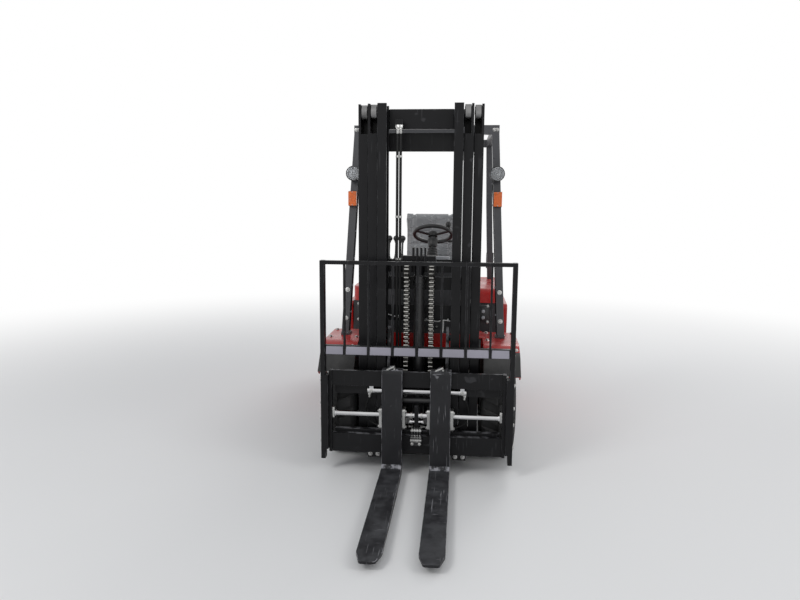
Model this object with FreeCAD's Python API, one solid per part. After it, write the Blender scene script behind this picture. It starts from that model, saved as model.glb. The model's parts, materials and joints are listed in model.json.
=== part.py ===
import FreeCAD, Part
import math
import os

# A counterbalanced forklift truck of about 3 t. Millimetres, +Z up, forks towards -Y.
# The origin is on the floor, at the centre of the truck's footprint.

V = FreeCAD.Vector
X_AXIS, Y_AXIS, Z_AXIS = V(1, 0, 0), V(0, 1, 0), V(0, 0, 1)

# Overall sizes
FORK_LENGTH = 1070
LOAD_DISTANCE = 490             # drive axle behind the front face of the fork shanks
WHEELBASE = 1700
REAR_OVERHANG = 500             # steered axle to the rear end
MAST_HEIGHT = 2200
GUARD_HEIGHT = 2145

# Running clearances
SLIDE_GAP = 0.5                 # sliding bearings
PIN_GAP = 0.3                   # radial, shafts in bores
RAIL_GAP = 5                    # between neighbouring mast channels
ROD_CLEARANCE = 5               # a rod that only passes through a plate
REST_GAP = 0.3                  # pieces that rest against each other

# Wheels
DRIVE_TYRE_R, DRIVE_TYRE_W = 353, 220
DRIVE_RIM_R = 190
DRIVE_TRACK_X = 495             # tyre centre from the middle of the truck
STEER_TYRE_R, STEER_TYRE_W = 287.5, 165
STEER_RIM_R = 145
STEER_TRACK_X = 490
KINGPIN_X = 355
KINGPIN_R = 22

# Stations along Y
TOTAL_LENGTH = FORK_LENGTH + LOAD_DISTANCE + WHEELBASE + REAR_OVERHANG
FACE_Y = FORK_LENGTH - TOTAL_LENGTH / 2     # front face of the fork shanks
AXLE_Y = FACE_Y + LOAD_DISTANCE
STEER_Y = AXLE_Y + WHEELBASE
REAR_Y = TOTAL_LENGTH / 2
WEIGHT_FRONT_Y = STEER_Y - 378              # front face of the counterweight
AXLE_Z = DRIVE_TYRE_R
STEER_Z = STEER_TYRE_R

# Forks and fork bars
FORK_WIDTH = 122
FORK_THICK = 45
FORK_X = 144                    # centre of a fork from the middle, as parked
FORK_BOTTOM_Z = 6
FORK_TIP_THICK = 14
FORK_TIP_WIDTH = 74
FORK_TIP_TAPER = 85
SHANK_TOP_Z = 650
HEEL_R = 48
INNER_HEEL_R = 24
BAR_THICK = 32
BAR_LIP = 18
BAR_X = 512                     # half length of the fork bars
UPPER_BAR_Z = (540, 634)
LOWER_BAR_Z = (126, 240)
LIP_HEIGHT = 22
END_PLATE = 18
CLAMP_PLATE = 17
CLAMP_Z = (280, 413)
GUIDE_ROD_R, GUIDE_ROD_Z = 16, 362
GUIDE_ROD_Y = FACE_Y + FORK_THICK + 21
STUB_ROD_R, STUB_ROD_Z = 9, 322
STUB_ROD_X = 40
POSITIONER_R, POSITIONER_Z, POSITIONER_X = 17, 512, 285
JUNCTION_X, JUNCTION_DEPTH, JUNCTION_Z = 22, 30, (266, 292)     # where the positioner's hoses meet

# Carriage on the inner mast
CARRIAGE_BAR_X = 500
CARRIAGE_UPPER_Z = (484, 580)
CARRIAGE_LOWER_Z = (148, 260)
ROLLER_PLATE_X = (168, 186)
CARRIAGE_PLATE_RECESS = 6        # between the crossbars the plates stand back
CARRIAGE_ROLLER_Z = (330, 820)

# Load backrest
BACKREST_X = 574
BACKREST_TOP_Z = 1296
BACKREST_STRIP_Z = (737, 789)
BACKREST_BAR_COUNT = 7
BACKREST_BAR_PITCH = 143

# Mast channels: outer face X, front Y from the fork face, bottom Z
CHANNEL_WEB = 14
CHANNEL_DEPTH = 140
CHANNEL_FACE = 55
INNER_FACE_X = 195              # clear half width of the mast window
CHANNEL_STEP_Y = 25             # each stage stands this much behind the next one in
INNER_FRONT_Y = FACE_Y + 120
STAGES = ("inner", "middle", "outer")
STAGE_BOTTOM_Z = {"outer": 85, "middle": 95, "inner": 105}
TIE_THICK = 12
ROLLER_GAP = 0.3
ROLLER_R = CHANNEL_DEPTH / 2 - CHANNEL_WEB - ROLLER_GAP
TOP_ROLLER_R = 45

# Chains on the inner mast, with the pulleys of the crosshead
CHAIN_X, CHAIN_WIDTH, CHAIN_THICK = 75, 28, 10
CHAIN_FOOT_Z, CHAIN_ANCHOR_Z = 518, 745
PULLEY_R, PULLEY_Z = 43, 1215
YOKE_Z = PULLEY_Z + 75
PULLEY_Y = INNER_FRONT_Y + 72
CHAIN_FRONT_Y = PULLEY_Y - PULLEY_R - CHAIN_THICK / 2
CHAIN_REAR_Y = PULLEY_Y + PULLEY_R + CHAIN_THICK / 2

# Hoses: down the inner mast as (Y, Z), and from each end of the positioning cylinder round to the
# junction as (X, Y behind the fork face, Z)
MAST_HOSE_X, MAST_HOSE_R = (-115, -134), 8
MAST_HOSE_Y, MAST_HOSE_TOP_Z = INNER_FRONT_Y + 30, MAST_HEIGHT - 120
MAST_HOSE_FOOT_Y, MAST_HOSE_FOOT_Z = INNER_FRONT_Y + CHANNEL_DEPTH - 20, 160
MAST_HOSE_LINE = [
    (MAST_HOSE_Y, MAST_HOSE_TOP_Z), (MAST_HOSE_Y, 1250), (MAST_HOSE_Y + 8, 1000),
    (MAST_HOSE_FOOT_Y - 10, 700), (MAST_HOSE_FOOT_Y, 480), (MAST_HOSE_FOOT_Y, MAST_HOSE_FOOT_Z),
]
POSITIONER_HOSE_R = 6
POSITIONER_HOSE = [
    (285, 62.5, 495), (285, 62.5, 473), (300, 84, 438), (312, 101, 398), (310, 101, 352), (286, 101, 302),
    (236, 101, 279), (170, 101, 275), (100, 101, 279), (JUNCTION_X, 101, 279),
]

# Lift, free lift and tilt cylinders
LIFT_X, LIFT_BARREL_R, LIFT_ROD_R = 280, 32, 22
LIFT_Y = INNER_FRONT_Y + 2 * CHANNEL_STEP_Y + CHANNEL_DEPTH + 16 + LIFT_BARREL_R
LIFT_BARREL_Z = (110, MAST_HEIGHT - 240)
LIFT_ROD_TOP_Z = MAST_HEIGHT - 80
FREE_LIFT_R, FREE_ROD_R = 38, 28
FREE_LIFT_BARREL_Z = (130, 1190)
TILT_X, TILT_BARREL_R, TILT_ROD_R, TILT_PIN_R = 340, 38, 15, 14
TILT_EYE_HALF = 16
TILT_EYE_PLAY = 1.5             # the rod's eye drifts on its pin as the mast tilts
TILT_PIN_Y, TILT_PIN_Z = FACE_Y + 400, 545
TILT_FOOT_Y, TILT_FOOT_Z = FACE_Y + 960, 440
TILT_FOOT = V(TILT_X, TILT_FOOT_Y, TILT_FOOT_Z)
TILT_EYE = V(TILT_X, TILT_PIN_Y, TILT_PIN_Z)
TILT_LINE = (TILT_EYE - TILT_FOOT).normalize()
TILT_BARREL_LENGTH = 400

# Body
AXLE_TUBE_R = 75
FLOOR_Z = 600
PLATE = 12
FENDER_TOP_Z = 750
HOOD_TOP_Z = 1000
HOOD_BOTTOM_Z = 895
HOOD_HINGE_Y, HOOD_HINGE_Z = WEIGHT_FRONT_Y + 48, 985
HINGE_X, HINGE_PIN_R = (300, 360), 6
COUNTERWEIGHT_TOP_Z = 960
STEER_ARCH_R = 372
STEER_ARCH_TOP_Z = 605
WHEEL_X, WHEEL_Y, WHEEL_Z = 42, FACE_Y + 1080, 1406
STEERING_WHEEL_R, STEERING_RIM_R = 150, 14
HUB_STEP_Z = 22                 # the hub reaches this far below the rim
COLUMN_TILT = 28                # steering column from the vertical, degrees
COWL_TOP_Z = 1240
LEVER_BASE = [(AXLE_Y + 154, COWL_TOP_Z - 18.75), (AXLE_Y + 234, COWL_TOP_Z - 6.25),
              (AXLE_Y + 226, COWL_TOP_Z + 16), (AXLE_Y + 160, COWL_TOP_Z + 8)]
SEAT_REAR_Y = HOOD_HINGE_Y - 60

# Fender outline from the axle: Y, Z, corner radius
FENDER_LINE = [(-325, 237, 0), (-240, 340, 110), (-130, 397, 150), (300, 397, 70), (372, 300, 60),
               (392, 247, 0)]

# Overhead guard legs: half width, centre Y, Z
LEG_WIDTH, LEG_DEPTH = 48, 80
FRONT_LEG = [(520, FACE_Y + 595, FENDER_TOP_Z), (482, FACE_Y + 700, GUARD_HEIGHT - 565),
             (462, FACE_Y + 800, GUARD_HEIGHT - 60)]
REAR_LEG = [(500, WEIGHT_FRONT_Y + 113, COUNTERWEIGHT_TOP_Z),
            (475, WEIGHT_FRONT_Y + 58, GUARD_HEIGHT - 545), (462, WEIGHT_FRONT_Y + 18, GUARD_HEIGHT - 60)]


def block(x, y, z):
    """A box from its low and high corner on each axis."""
    size = [high - low for low, high in (x, y, z)]
    return Part.makeBox(*size, V(x[0], y[0], z[0]))


def bar_x(x, y, z, radius):
    return Part.makeCylinder(radius, x[1] - x[0], V(x[0], y, z), X_AXIS)


def bar_y(y, x, z, radius):
    return Part.makeCylinder(radius, y[1] - y[0], V(x, y[0], z), Y_AXIS)


def bar_z(z, x, y, radius):
    return Part.makeCylinder(radius, z[1] - z[0], V(x, y, z[0]), Z_AXIS)


def bar_between(start, end, radius):
    return Part.makeCylinder(radius, (end - start).Length, start, end - start)


def face_of(corners):
    """A flat face from (point, radius) corners; a radius turns the corner in an arc."""
    edges, ends = [], []
    count = len(corners)
    for i, (corner, radius) in enumerate(corners):
        into = (corner - corners[i - 1][0]).normalize()
        out = (corners[(i + 1) % count][0] - corner).normalize()
        half_turn = into.getAngle(out) / 2
        if not radius:
            ends.append((corner, corner))
            continue
        reach = radius * math.tan(half_turn)
        start, end = corner - into * reach, corner + out * reach
        inward = (out - into).normalize()
        middle = corner + inward * radius * (1 / math.cos(half_turn) - 1)
        edges.append(Part.Arc(start, middle, end).toShape())
        ends.append((start, end))
    for (_, a), (b, _) in zip(ends, ends[1:] + ends[:1]):
        if (b - a).Length > 0.001:
            edges.append(Part.LineSegment(a, b).toShape())
    return Part.Face(Part.Wire(Part.__sortEdges__(edges)))


def corner_radius(point):
    return point[2] if len(point) > 2 else 0


def slab_x(outline, x):
    """A plate across X from an outline of (y, z) or (y, z, corner radius)."""
    face = face_of([(V(x[0], p[0], p[1]), corner_radius(p)) for p in outline])
    return face.extrude(V(x[1] - x[0], 0, 0))


def slab_y(outline, y):
    """A plate across Y from an outline of (x, z) or (x, z, corner radius)."""
    face = face_of([(V(p[0], y[0], p[1]), corner_radius(p)) for p in outline])
    return face.extrude(V(0, y[1] - y[0], 0))


def slab_z(outline, z):
    """A plate across Z from an outline of (x, y) or (x, y, corner radius)."""
    face = face_of([(V(p[0], p[1], z[0]), corner_radius(p)) for p in outline])
    return face.extrude(V(0, 0, z[1] - z[0]))


def turned_x(outline, y, z):
    """A turned piece on an axle along X, from (x, radius) points."""
    points = [V(px, 0, r) for px, r in outline]
    face = Part.Face(Part.makePolygon(points + points[:1]))
    solid = face.revolve(V(0, 0, 0), X_AXIS, 360)
    solid.translate(V(0, y, z))
    return solid


def mirrored(shape):
    return shape.mirror(V(0, 0, 0), X_AXIS)


def both(shape):
    """The shape and its mirror image on the other side, side by side."""
    return [shape, mirrored(shape)]


def join(*shapes):
    """One solid from pieces that touch or overlap."""
    pieces = [piece for shape in shapes for piece in (shape if isinstance(shape, list) else [shape])]
    return pieces[0].multiFuse(pieces[1:]).removeSplitter()


def apart(*shapes):
    """Pieces that don't touch, kept together as one sub-part."""
    pieces = [piece for shape in shapes for piece in (shape if isinstance(shape, list) else [shape])]
    return Part.makeCompound(pieces)


def tube_path(points, radius):
    """A hose of straight runs joined by tangent arcs, as large as their runs allow."""
    runs = [(b - a).Length for a, b in zip(points, points[1:])]
    edges, start = [], points[0]
    for i in range(1, len(points) - 1):
        into = (points[i] - points[i - 1]).normalize()
        out = (points[i + 1] - points[i]).normalize()
        turn = into.getAngle(out)
        reach = 0.45 * min(runs[i - 1], runs[i])
        a, b = points[i] - into * reach, points[i] + out * reach
        middle_dir = (out - into).normalize()
        arc_r = reach / math.tan(turn / 2)
        centre = points[i] + middle_dir * (arc_r / math.cos(turn / 2))
        edges.append(Part.LineSegment(start, a).toShape())
        edges.append(Part.Arc(a, centre - middle_dir * arc_r, b).toShape())
        start = b
    edges.append(Part.LineSegment(start, points[-1]).toShape())
    path = Part.Wire(edges)
    ring = Part.Wire(Part.Circle(points[0], points[1] - points[0], radius).toShape())
    return path.makePipeShell([ring], True, False)


# Forks and clamps

def fork(side):
    """An L-shaped fork: blade along the floor, shank with hooks for the two fork bars."""
    heel_top = FORK_BOTTOM_Z + FORK_THICK
    tip_y = FACE_Y - FORK_LENGTH
    back = FACE_Y + FORK_THICK
    profile = [
        (tip_y, heel_top), (tip_y, heel_top - FORK_TIP_THICK), (FACE_Y - 350, FORK_BOTTOM_Z),
        (back, FORK_BOTTOM_Z, HEEL_R), (back, SHANK_TOP_Z), (FACE_Y + 12, SHANK_TOP_Z),
        (FACE_Y, SHANK_TOP_Z - 25), (FACE_Y, heel_top, INNER_HEEL_R),
    ]
    half = FORK_WIDTH / 2
    centre = side * FORK_X
    body = slab_x(profile, (centre - half, centre + half))
    tip_half = FORK_TIP_WIDTH / 2
    shoulder_y = tip_y + FORK_TIP_TAPER
    plan = [
        (centre - half, back + 1), (centre - half, shoulder_y, 70), (centre - tip_half, tip_y, 16),
        (centre + tip_half, tip_y, 16), (centre + half, shoulder_y, 70), (centre + half, back + 1),
    ]
    body = body.common(slab_z(plan, (0, SHANK_TOP_Z + 1)))
    bar_front = back + SLIDE_GAP * 2
    tongue = (bar_front + BAR_LIP + SLIDE_GAP, bar_front + BAR_THICK - SLIDE_GAP)
    x = (centre - half, centre + half)
    bar_top, bar_bottom = UPPER_BAR_Z[1], LOWER_BAR_Z[0]
    hook_low = bar_bottom - 12
    upper_hook = [
        block(x, (back - 10, tongue[1]), (bar_top + SLIDE_GAP, SHANK_TOP_Z)),
        block(x, tongue, (bar_top - LIP_HEIGHT + SLIDE_GAP, SHANK_TOP_Z)),
    ]
    lower_hook = [
        block(x, (back - 10, tongue[1]), (hook_low, bar_bottom - SLIDE_GAP)),
        block(x, tongue, (hook_low, bar_bottom + LIP_HEIGHT - SLIDE_GAP)),
    ]
    top = SHANK_TOP_Z
    latch = [(-34, top), (-34, top + 4), (-8, top + 24), (3, top + 24), (11, top + 7), (34, top + 7),
             (34, top)]
    latch = slab_y([(centre + px, z) for px, z in latch], (FACE_Y + 16, FACE_Y + 40))
    return join(body, upper_hook, lower_hook, latch)


def fork_clamp(side):
    """Two plates that take the fork between them, with a sleeve on the guide rod."""
    centre = side * FORK_X
    half = FORK_WIDTH / 2
    low, high = CLAMP_Z
    rear = GUIDE_ROD_Y + 22
    outline = [
        (FACE_Y + 14, low + 14, 10), (FACE_Y + 30, low, 8), (rear - 6, low, 8), (rear, low + 22, 10),
        (rear, high - 30, 12), (rear - 14, high, 8), (FACE_Y + 14, high, 14),
    ]
    plates = [slab_x(outline, (centre + half, centre + half + CLAMP_PLATE)),
              slab_x(outline, (centre - half - CLAMP_PLATE, centre - half))]
    sleeve = bar_x((centre - half, centre + half), GUIDE_ROD_Y, GUIDE_ROD_Z, GUIDE_ROD_R + 4.5)
    body = join(plates, sleeve)
    reach = (centre - half - CLAMP_PLATE - 1, centre + half + CLAMP_PLATE + 1)
    body = body.cut(bar_x(reach, GUIDE_ROD_Y, GUIDE_ROD_Z, GUIDE_ROD_R + PIN_GAP))
    return body.cut(bar_x(reach, GUIDE_ROD_Y, STUB_ROD_Z, STUB_ROD_R + ROD_CLEARANCE))


# Side shifter

def positioner_frame():
    """Two fork bars with end plates, slide pads and the hooks below the carriage."""
    front = FACE_Y + FORK_THICK + 2 * SLIDE_GAP
    rear = front + BAR_THICK
    bars = []
    for low, high, lip_up in ((*UPPER_BAR_Z, True), (*LOWER_BAR_Z, False)):
        body = (low, high - LIP_HEIGHT) if lip_up else (low + LIP_HEIGHT, high)
        bars.append(block((-BAR_X, BAR_X), (front, rear), body))
        bars.append(block((-BAR_X, BAR_X), (front, front + BAR_LIP), (low, high)))
    end_plates = both(block((BAR_X, BAR_X + END_PLATE), (front - 10, rear),
                            (LOWER_BAR_Z[0], UPPER_BAR_Z[1])))
    pads = both(block((150, 350), (rear, rear + BAR_THICK + 2),
                      (CARRIAGE_UPPER_Z[1] + SLIDE_GAP, UPPER_BAR_Z[1] - LIP_HEIGHT)))
    hook_rear = rear + BAR_THICK
    hook = join(block((215, 300), (rear, hook_rear), (84, CARRIAGE_LOWER_Z[0] - SLIDE_GAP)),
                block((215, 300), (rear, rear + 1.5), (100, 190)))
    centre = block((-12, 12), (front + 3, rear), (LOWER_BAR_Z[1], CLAMP_Z[1] + 8))
    junction = block((-JUNCTION_X, JUNCTION_X), (rear, rear + JUNCTION_DEPTH), JUNCTION_Z)
    frame = join(bars, end_plates, pads, both(hook), centre, junction)
    frame = frame.cut(bar_x((-13, 13), GUIDE_ROD_Y, GUIDE_ROD_Z, GUIDE_ROD_R + PIN_GAP))
    return frame.cut(bar_x((-13, 13), GUIDE_ROD_Y, STUB_ROD_Z, STUB_ROD_R + PIN_GAP))


def guide_rods():
    """The long guide rod with end collars, the short centre rod and the positioning cylinder."""
    long_rod = bar_x((-BAR_X, BAR_X), GUIDE_ROD_Y, GUIDE_ROD_Z, GUIDE_ROD_R)
    front, rear, low, high = GUIDE_ROD_Y - 20, GUIDE_ROD_Y + 9, GUIDE_ROD_Z - 22, GUIDE_ROD_Z + 40
    clamps = both(slab_x([(front, low, 5), (rear, low, 5), (rear, high, 5), (front, high, 5)],
                         (BAR_X - 14, BAR_X)))
    collars = both(bar_x((BAR_X - 24, BAR_X), GUIDE_ROD_Y, GUIDE_ROD_Z, 21))
    short_rod = join(
        bar_x((-STUB_ROD_X, STUB_ROD_X), GUIDE_ROD_Y, STUB_ROD_Z, STUB_ROD_R),
        both(bar_x((STUB_ROD_X - 10, STUB_ROD_X), GUIDE_ROD_Y, STUB_ROD_Z, STUB_ROD_R + 4)),
    )
    cylinder_y = FACE_Y + FORK_THICK + 2 * SLIDE_GAP + POSITIONER_R
    cylinder = join(
        bar_x((-POSITIONER_X, POSITIONER_X), cylinder_y, POSITIONER_Z, POSITIONER_R - 2),
        both(bar_x((POSITIONER_X - 30, POSITIONER_X + 8), cylinder_y, POSITIONER_Z, POSITIONER_R)),
        both(block((POSITIONER_X - 24, POSITIONER_X), (cylinder_y - 12, cylinder_y + 12),
                   (POSITIONER_Z, UPPER_BAR_Z[0]))),
    )
    return apart(join(long_rod, clamps, collars), short_rod, cylinder)


def hose_manifold():
    """A valve block on the lower fork bar with four upright fittings."""
    front = FACE_Y + FORK_THICK + 2 * SLIDE_GAP
    body = block((-32, 32), (front - 30, front), (188, 228))
    fittings = [bar_z((228, 300), px, front - 15, 6) for px in (-24, -8, 8, 24)]
    nuts = [bar_z((228, 246), px, front - 15, 7.5) for px in (-24, -8, 8, 24)]
    return join(body, fittings, nuts)


def positioner_hoses():
    """A hose on each side, from the end of the positioning cylinder to the middle."""
    route = [V(x, FACE_Y + y, z) for x, y, z in POSITIONER_HOSE]
    return apart(both(tube_path(route, POSITIONER_HOSE_R)))


def load_backrest():
    """A welded grille that keeps the load from falling over the mast."""
    front = FACE_Y + 8
    rear = FACE_Y + 60
    side = 26
    uprights = both(block((BACKREST_X - side, BACKREST_X), (front, rear), (90, BACKREST_TOP_Z)))
    brackets = both(block((BAR_X + END_PLATE, BACKREST_X), (front, rear), (150, 610)))
    top = block((-BACKREST_X, BACKREST_X), (front, rear - 20), (BACKREST_TOP_Z - 22, BACKREST_TOP_Z))
    low, high = BACKREST_STRIP_Z
    strip = slab_x([(front + 6, low), (front + 18, high), (rear, high), (rear, high - 8),
                    (front + 30, high - 8), (front + 20, low)], (-BACKREST_X, BACKREST_X))
    middle = (BACKREST_BAR_COUNT - 1) / 2
    bars = []
    for i in range(BACKREST_BAR_COUNT):
        px = (i - middle) * BACKREST_BAR_PITCH
        bars.append(block((px - 6, px + 6), (front, front + 22), (low, BACKREST_TOP_Z)))
    return join(uprights, brackets, top, strip, bars)


# Carriage

def carriage():
    """Two crossbars on upright plates that carry rollers in the inner mast channels."""
    front = FACE_Y + FORK_THICK + 2 * SLIDE_GAP + BAR_THICK + 2
    rear = front + BAR_THICK
    width = (-CARRIAGE_BAR_X, CARRIAGE_BAR_X)
    upper = block(width, (front, rear), CARRIAGE_UPPER_Z)
    lower = block(width, (front, rear), CARRIAGE_LOWER_Z)
    roller_y = INNER_FRONT_Y + CHANNEL_DEPTH / 2
    top = CARRIAGE_ROLLER_Z[1] + 70
    recess = rear + CARRIAGE_PLATE_RECESS
    plate = [(rear, 150), (roller_y + 25, 200), (roller_y + 25, top - 20), (roller_y - 25, top),
             (rear, 640), (rear, CARRIAGE_UPPER_Z[0]), (recess, CARRIAGE_UPPER_Z[0]),
             (recess, CARRIAGE_LOWER_Z[1]), (rear, CARRIAGE_LOWER_Z[1])]
    plates = both(slab_x(plate, ROLLER_PLATE_X))
    rollers = []
    for z in CARRIAGE_ROLLER_Z:
        rollers += both(bar_x((ROLLER_PLATE_X[1], 199), roller_y, z, 20))
        rollers += both(bar_x((199, 231), roller_y, z, ROLLER_R))
    lugs = both(block((55, 95), (rear, INNER_FRONT_Y + 29), (488, CHAIN_FOOT_Z)))
    return join(upper, lower, plates, rollers, lugs)


def shift_cylinder():
    """The side shift cylinder lies behind the guide rod, on lugs of the carriage."""
    y = FACE_Y + FORK_THICK + 1 + BAR_THICK + 2 + BAR_THICK / 2
    barrel = bar_x((-150, 150), y, 448, 18)
    lugs = [block((px - 12, px + 12), (y - 16, y + 16), (448, CARRIAGE_UPPER_Z[0])) for px in (-120, 120)]
    return join(barrel, lugs)


# Mast

def stage_inner_x(stage):
    """The inboard face of a stage's channels."""
    return INNER_FACE_X + STAGES.index(stage) * (CHANNEL_FACE + RAIL_GAP - 1)


def stage_front_y(stage):
    return INNER_FRONT_Y + STAGES.index(stage) * CHANNEL_STEP_Y


def channels(stage):
    """A stage's two channels, webs outboard."""
    x0 = stage_inner_x(stage)
    x1 = x0 + CHANNEL_FACE - 1
    y0 = stage_front_y(stage)
    y1 = y0 + CHANNEL_DEPTH
    section = [(x0, y0), (x1, y0), (x1, y1), (x0, y1), (x0, y1 - CHANNEL_WEB),
               (x1 - CHANNEL_WEB, y1 - CHANNEL_WEB), (x1 - CHANNEL_WEB, y0 + CHANNEL_WEB),
               (x0, y0 + CHANNEL_WEB)]
    return slab_z(section, (STAGE_BOTTOM_Z[stage], MAST_HEIGHT))


def notched(rail, stage):
    """The rail with its front flange cut away round the top roller."""
    x0 = stage_inner_x(stage)
    y0 = stage_front_y(stage)
    return rail.cut(block((x0 - 1, x0 + CHANNEL_FACE - 1 - CHANNEL_WEB), (y0 - 1, y0 + CHANNEL_WEB + 1),
                          (MAST_HEIGHT - 170, MAST_HEIGHT + 1)))


def top_roller(stage):
    x1 = stage_inner_x(stage) + CHANNEL_FACE - 1 - CHANNEL_WEB
    y = stage_front_y(stage) + TOP_ROLLER_R
    z = MAST_HEIGHT - TOP_ROLLER_R
    return [bar_x((x1 - 38, x1 - 2), y, z, TOP_ROLLER_R), bar_x((x1 - 3, x1), y, z, 18)]


def tie(stage, z, thick=TIE_THICK):
    """A cross plate behind a stage's channels."""
    x1 = stage_inner_x(stage) + CHANNEL_FACE - 1
    y = stage_front_y(stage) + CHANNEL_DEPTH
    return block((-x1, x1), (y, y + thick), z)


def side_rollers(stage, heights):
    """Rollers at the foot of a stage that run in the next stage out."""
    x1 = stage_inner_x(stage) + CHANNEL_FACE - 1
    outer = STAGES[STAGES.index(stage) + 1]
    y = stage_front_y(outer) + CHANNEL_DEPTH / 2
    pieces = []
    for z in heights:
        pieces += [bar_x((x1, x1 + 9), y, z, 20), bar_x((x1 + 9, x1 + 41), y, z, ROLLER_R)]
    return pieces


def outer_mast():
    """The fixed stage: channels, ties, foot brackets round the drive axle and tilt lugs."""
    rail = notched(channels("outer"), "outer")
    x0 = stage_inner_x("outer")
    x1 = x0 + CHANNEL_FACE - 1
    rear = stage_front_y("outer") + CHANNEL_DEPTH
    foot = slab_x([(rear, 205), (rear + 60, 230), (AXLE_Y - 40, AXLE_Z - 100), (AXLE_Y, AXLE_Z - 110),
                   (AXLE_Y, AXLE_Z + 110), (AXLE_Y - 40, AXLE_Z + 100), (rear + 40, 490), (rear, 500)],
                  (x0 + 6, x1 - 2))
    foot = join(foot, bar_x((x0 + 6, x1 - 2), AXLE_Y, AXLE_Z, 110))
    foot = foot.cut(bar_x((x0, x1), AXLE_Y, AXLE_Z, AXLE_TUBE_R + PIN_GAP))
    eye_half = TILT_EYE_HALF
    lug = [(rear, TILT_PIN_Z - 42), (TILT_PIN_Y, TILT_PIN_Z - 26), (TILT_PIN_Y + 22, TILT_PIN_Z - 12),
           (TILT_PIN_Y + 22, TILT_PIN_Z + 12), (TILT_PIN_Y, TILT_PIN_Z + 26), (rear, TILT_PIN_Z + 60)]
    lugs = [slab_x(lug, (TILT_X - eye_half - 9, TILT_X - eye_half - 1)),
            slab_x(lug, (TILT_X + eye_half + 1, TILT_X + eye_half + 9))]
    pin = bar_x((TILT_X - eye_half - 10, TILT_X + eye_half + 10), TILT_PIN_Y, TILT_PIN_Z, TILT_PIN_R)
    side = join(rail, foot, lugs, pin, top_roller("outer"))
    shelf = block((-LIFT_X - 36, LIFT_X + 36), (rear, LIFT_Y + 36), (95, LIFT_BARREL_Z[0]))
    ties = [tie("outer", (95, 215), 16), tie("outer", (900, 1000), 16),
            tie("outer", (MAST_HEIGHT - 260, MAST_HEIGHT - 150), 16)]
    return join(both(side), shelf, ties)


def lift_barrels():
    low, high = LIFT_BARREL_Z
    barrel = bar_z((low, high), LIFT_X, LIFT_Y, LIFT_BARREL_R - 3)
    head = bar_z((high - 70, high), LIFT_X, LIFT_Y, LIFT_BARREL_R)
    foot = bar_z((low, low + 50), LIFT_X, LIFT_Y, LIFT_BARREL_R)
    barrel = join(barrel, head, foot)
    return apart(both(barrel.cut(bar_z((240, high + 1), LIFT_X, LIFT_Y, LIFT_ROD_R + PIN_GAP))))


def middle_mast():
    rail = notched(channels("middle"), "middle")
    side = join(rail, side_rollers("middle", (190, 420)), top_roller("middle"))
    rear = stage_front_y("middle") + CHANNEL_DEPTH
    ties = [tie("middle", (130, 230)), tie("middle", (1100, 1180)),
            tie("middle", (MAST_HEIGHT - 120, MAST_HEIGHT - 15))]
    brackets = both(block((LIFT_X - 26, LIFT_X + 26), (rear, LIFT_Y + 30),
                          (LIFT_ROD_TOP_Z, LIFT_ROD_TOP_Z + 30)))
    return join(both(side), ties, brackets)


def lift_rods():
    return apart(both(bar_z((260, LIFT_ROD_TOP_Z), LIFT_X, LIFT_Y, LIFT_ROD_R)))


def inner_mast():
    rail = channels("inner")
    side = join(rail, side_rollers("inner", (200, 430)))
    rear = stage_front_y("inner") + CHANNEL_DEPTH
    top = (MAST_HEIGHT - 135, MAST_HEIGHT - 20)
    ties = [tie("inner", (110, 180)), tie("inner", (1210, 1290)), tie("inner", top)]
    head = block((-190, 190), (rear - 24, rear + 1), top)
    seat = block((-60, 60), (rear - 90, rear + 1), (112, FREE_LIFT_BARREL_Z[0]))
    x = (min(MAST_HOSE_X) - 14, max(MAST_HOSE_X) + 12)
    clamp = block(x, (MAST_HOSE_Y - 12, rear), (MAST_HOSE_TOP_Z, MAST_HOSE_TOP_Z + 28))
    lower_clamp = block(x, (MAST_HOSE_FOOT_Y - 10, rear + 1), (MAST_HOSE_FOOT_Z - 26, MAST_HOSE_FOOT_Z))
    return join(both(side), ties, head, seat, clamp, lower_clamp)


def mast_hoses():
    """Twin hoses down the inner stage, from the top tie to its foot."""
    hoses = []
    for x in MAST_HOSE_X:
        route = [V(x, y, z) for y, z in MAST_HOSE_LINE]
        hoses.append(tube_path(route, MAST_HOSE_R))
    return apart(hoses)


def free_lift_barrel():
    y = stage_front_y("inner") + CHANNEL_DEPTH - FREE_LIFT_R - 7
    low, high = FREE_LIFT_BARREL_Z
    body = bar_z((low, high), 0, y, FREE_LIFT_R - 4)
    head = bar_z((high - 60, high), 0, y, FREE_LIFT_R)
    foot = bar_z((low, low + 40), 0, y, FREE_LIFT_R)
    anchors = both(block((FREE_LIFT_R - 12, 92), (CHAIN_REAR_Y - 12, CHAIN_REAR_Y + 12),
                         (CHAIN_ANCHOR_Z - 25, CHAIN_ANCHOR_Z)))
    barrel = join(body, head, foot, anchors)
    return barrel.cut(bar_z((440, high + 1), 0, y, FREE_ROD_R + PIN_GAP))


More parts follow.
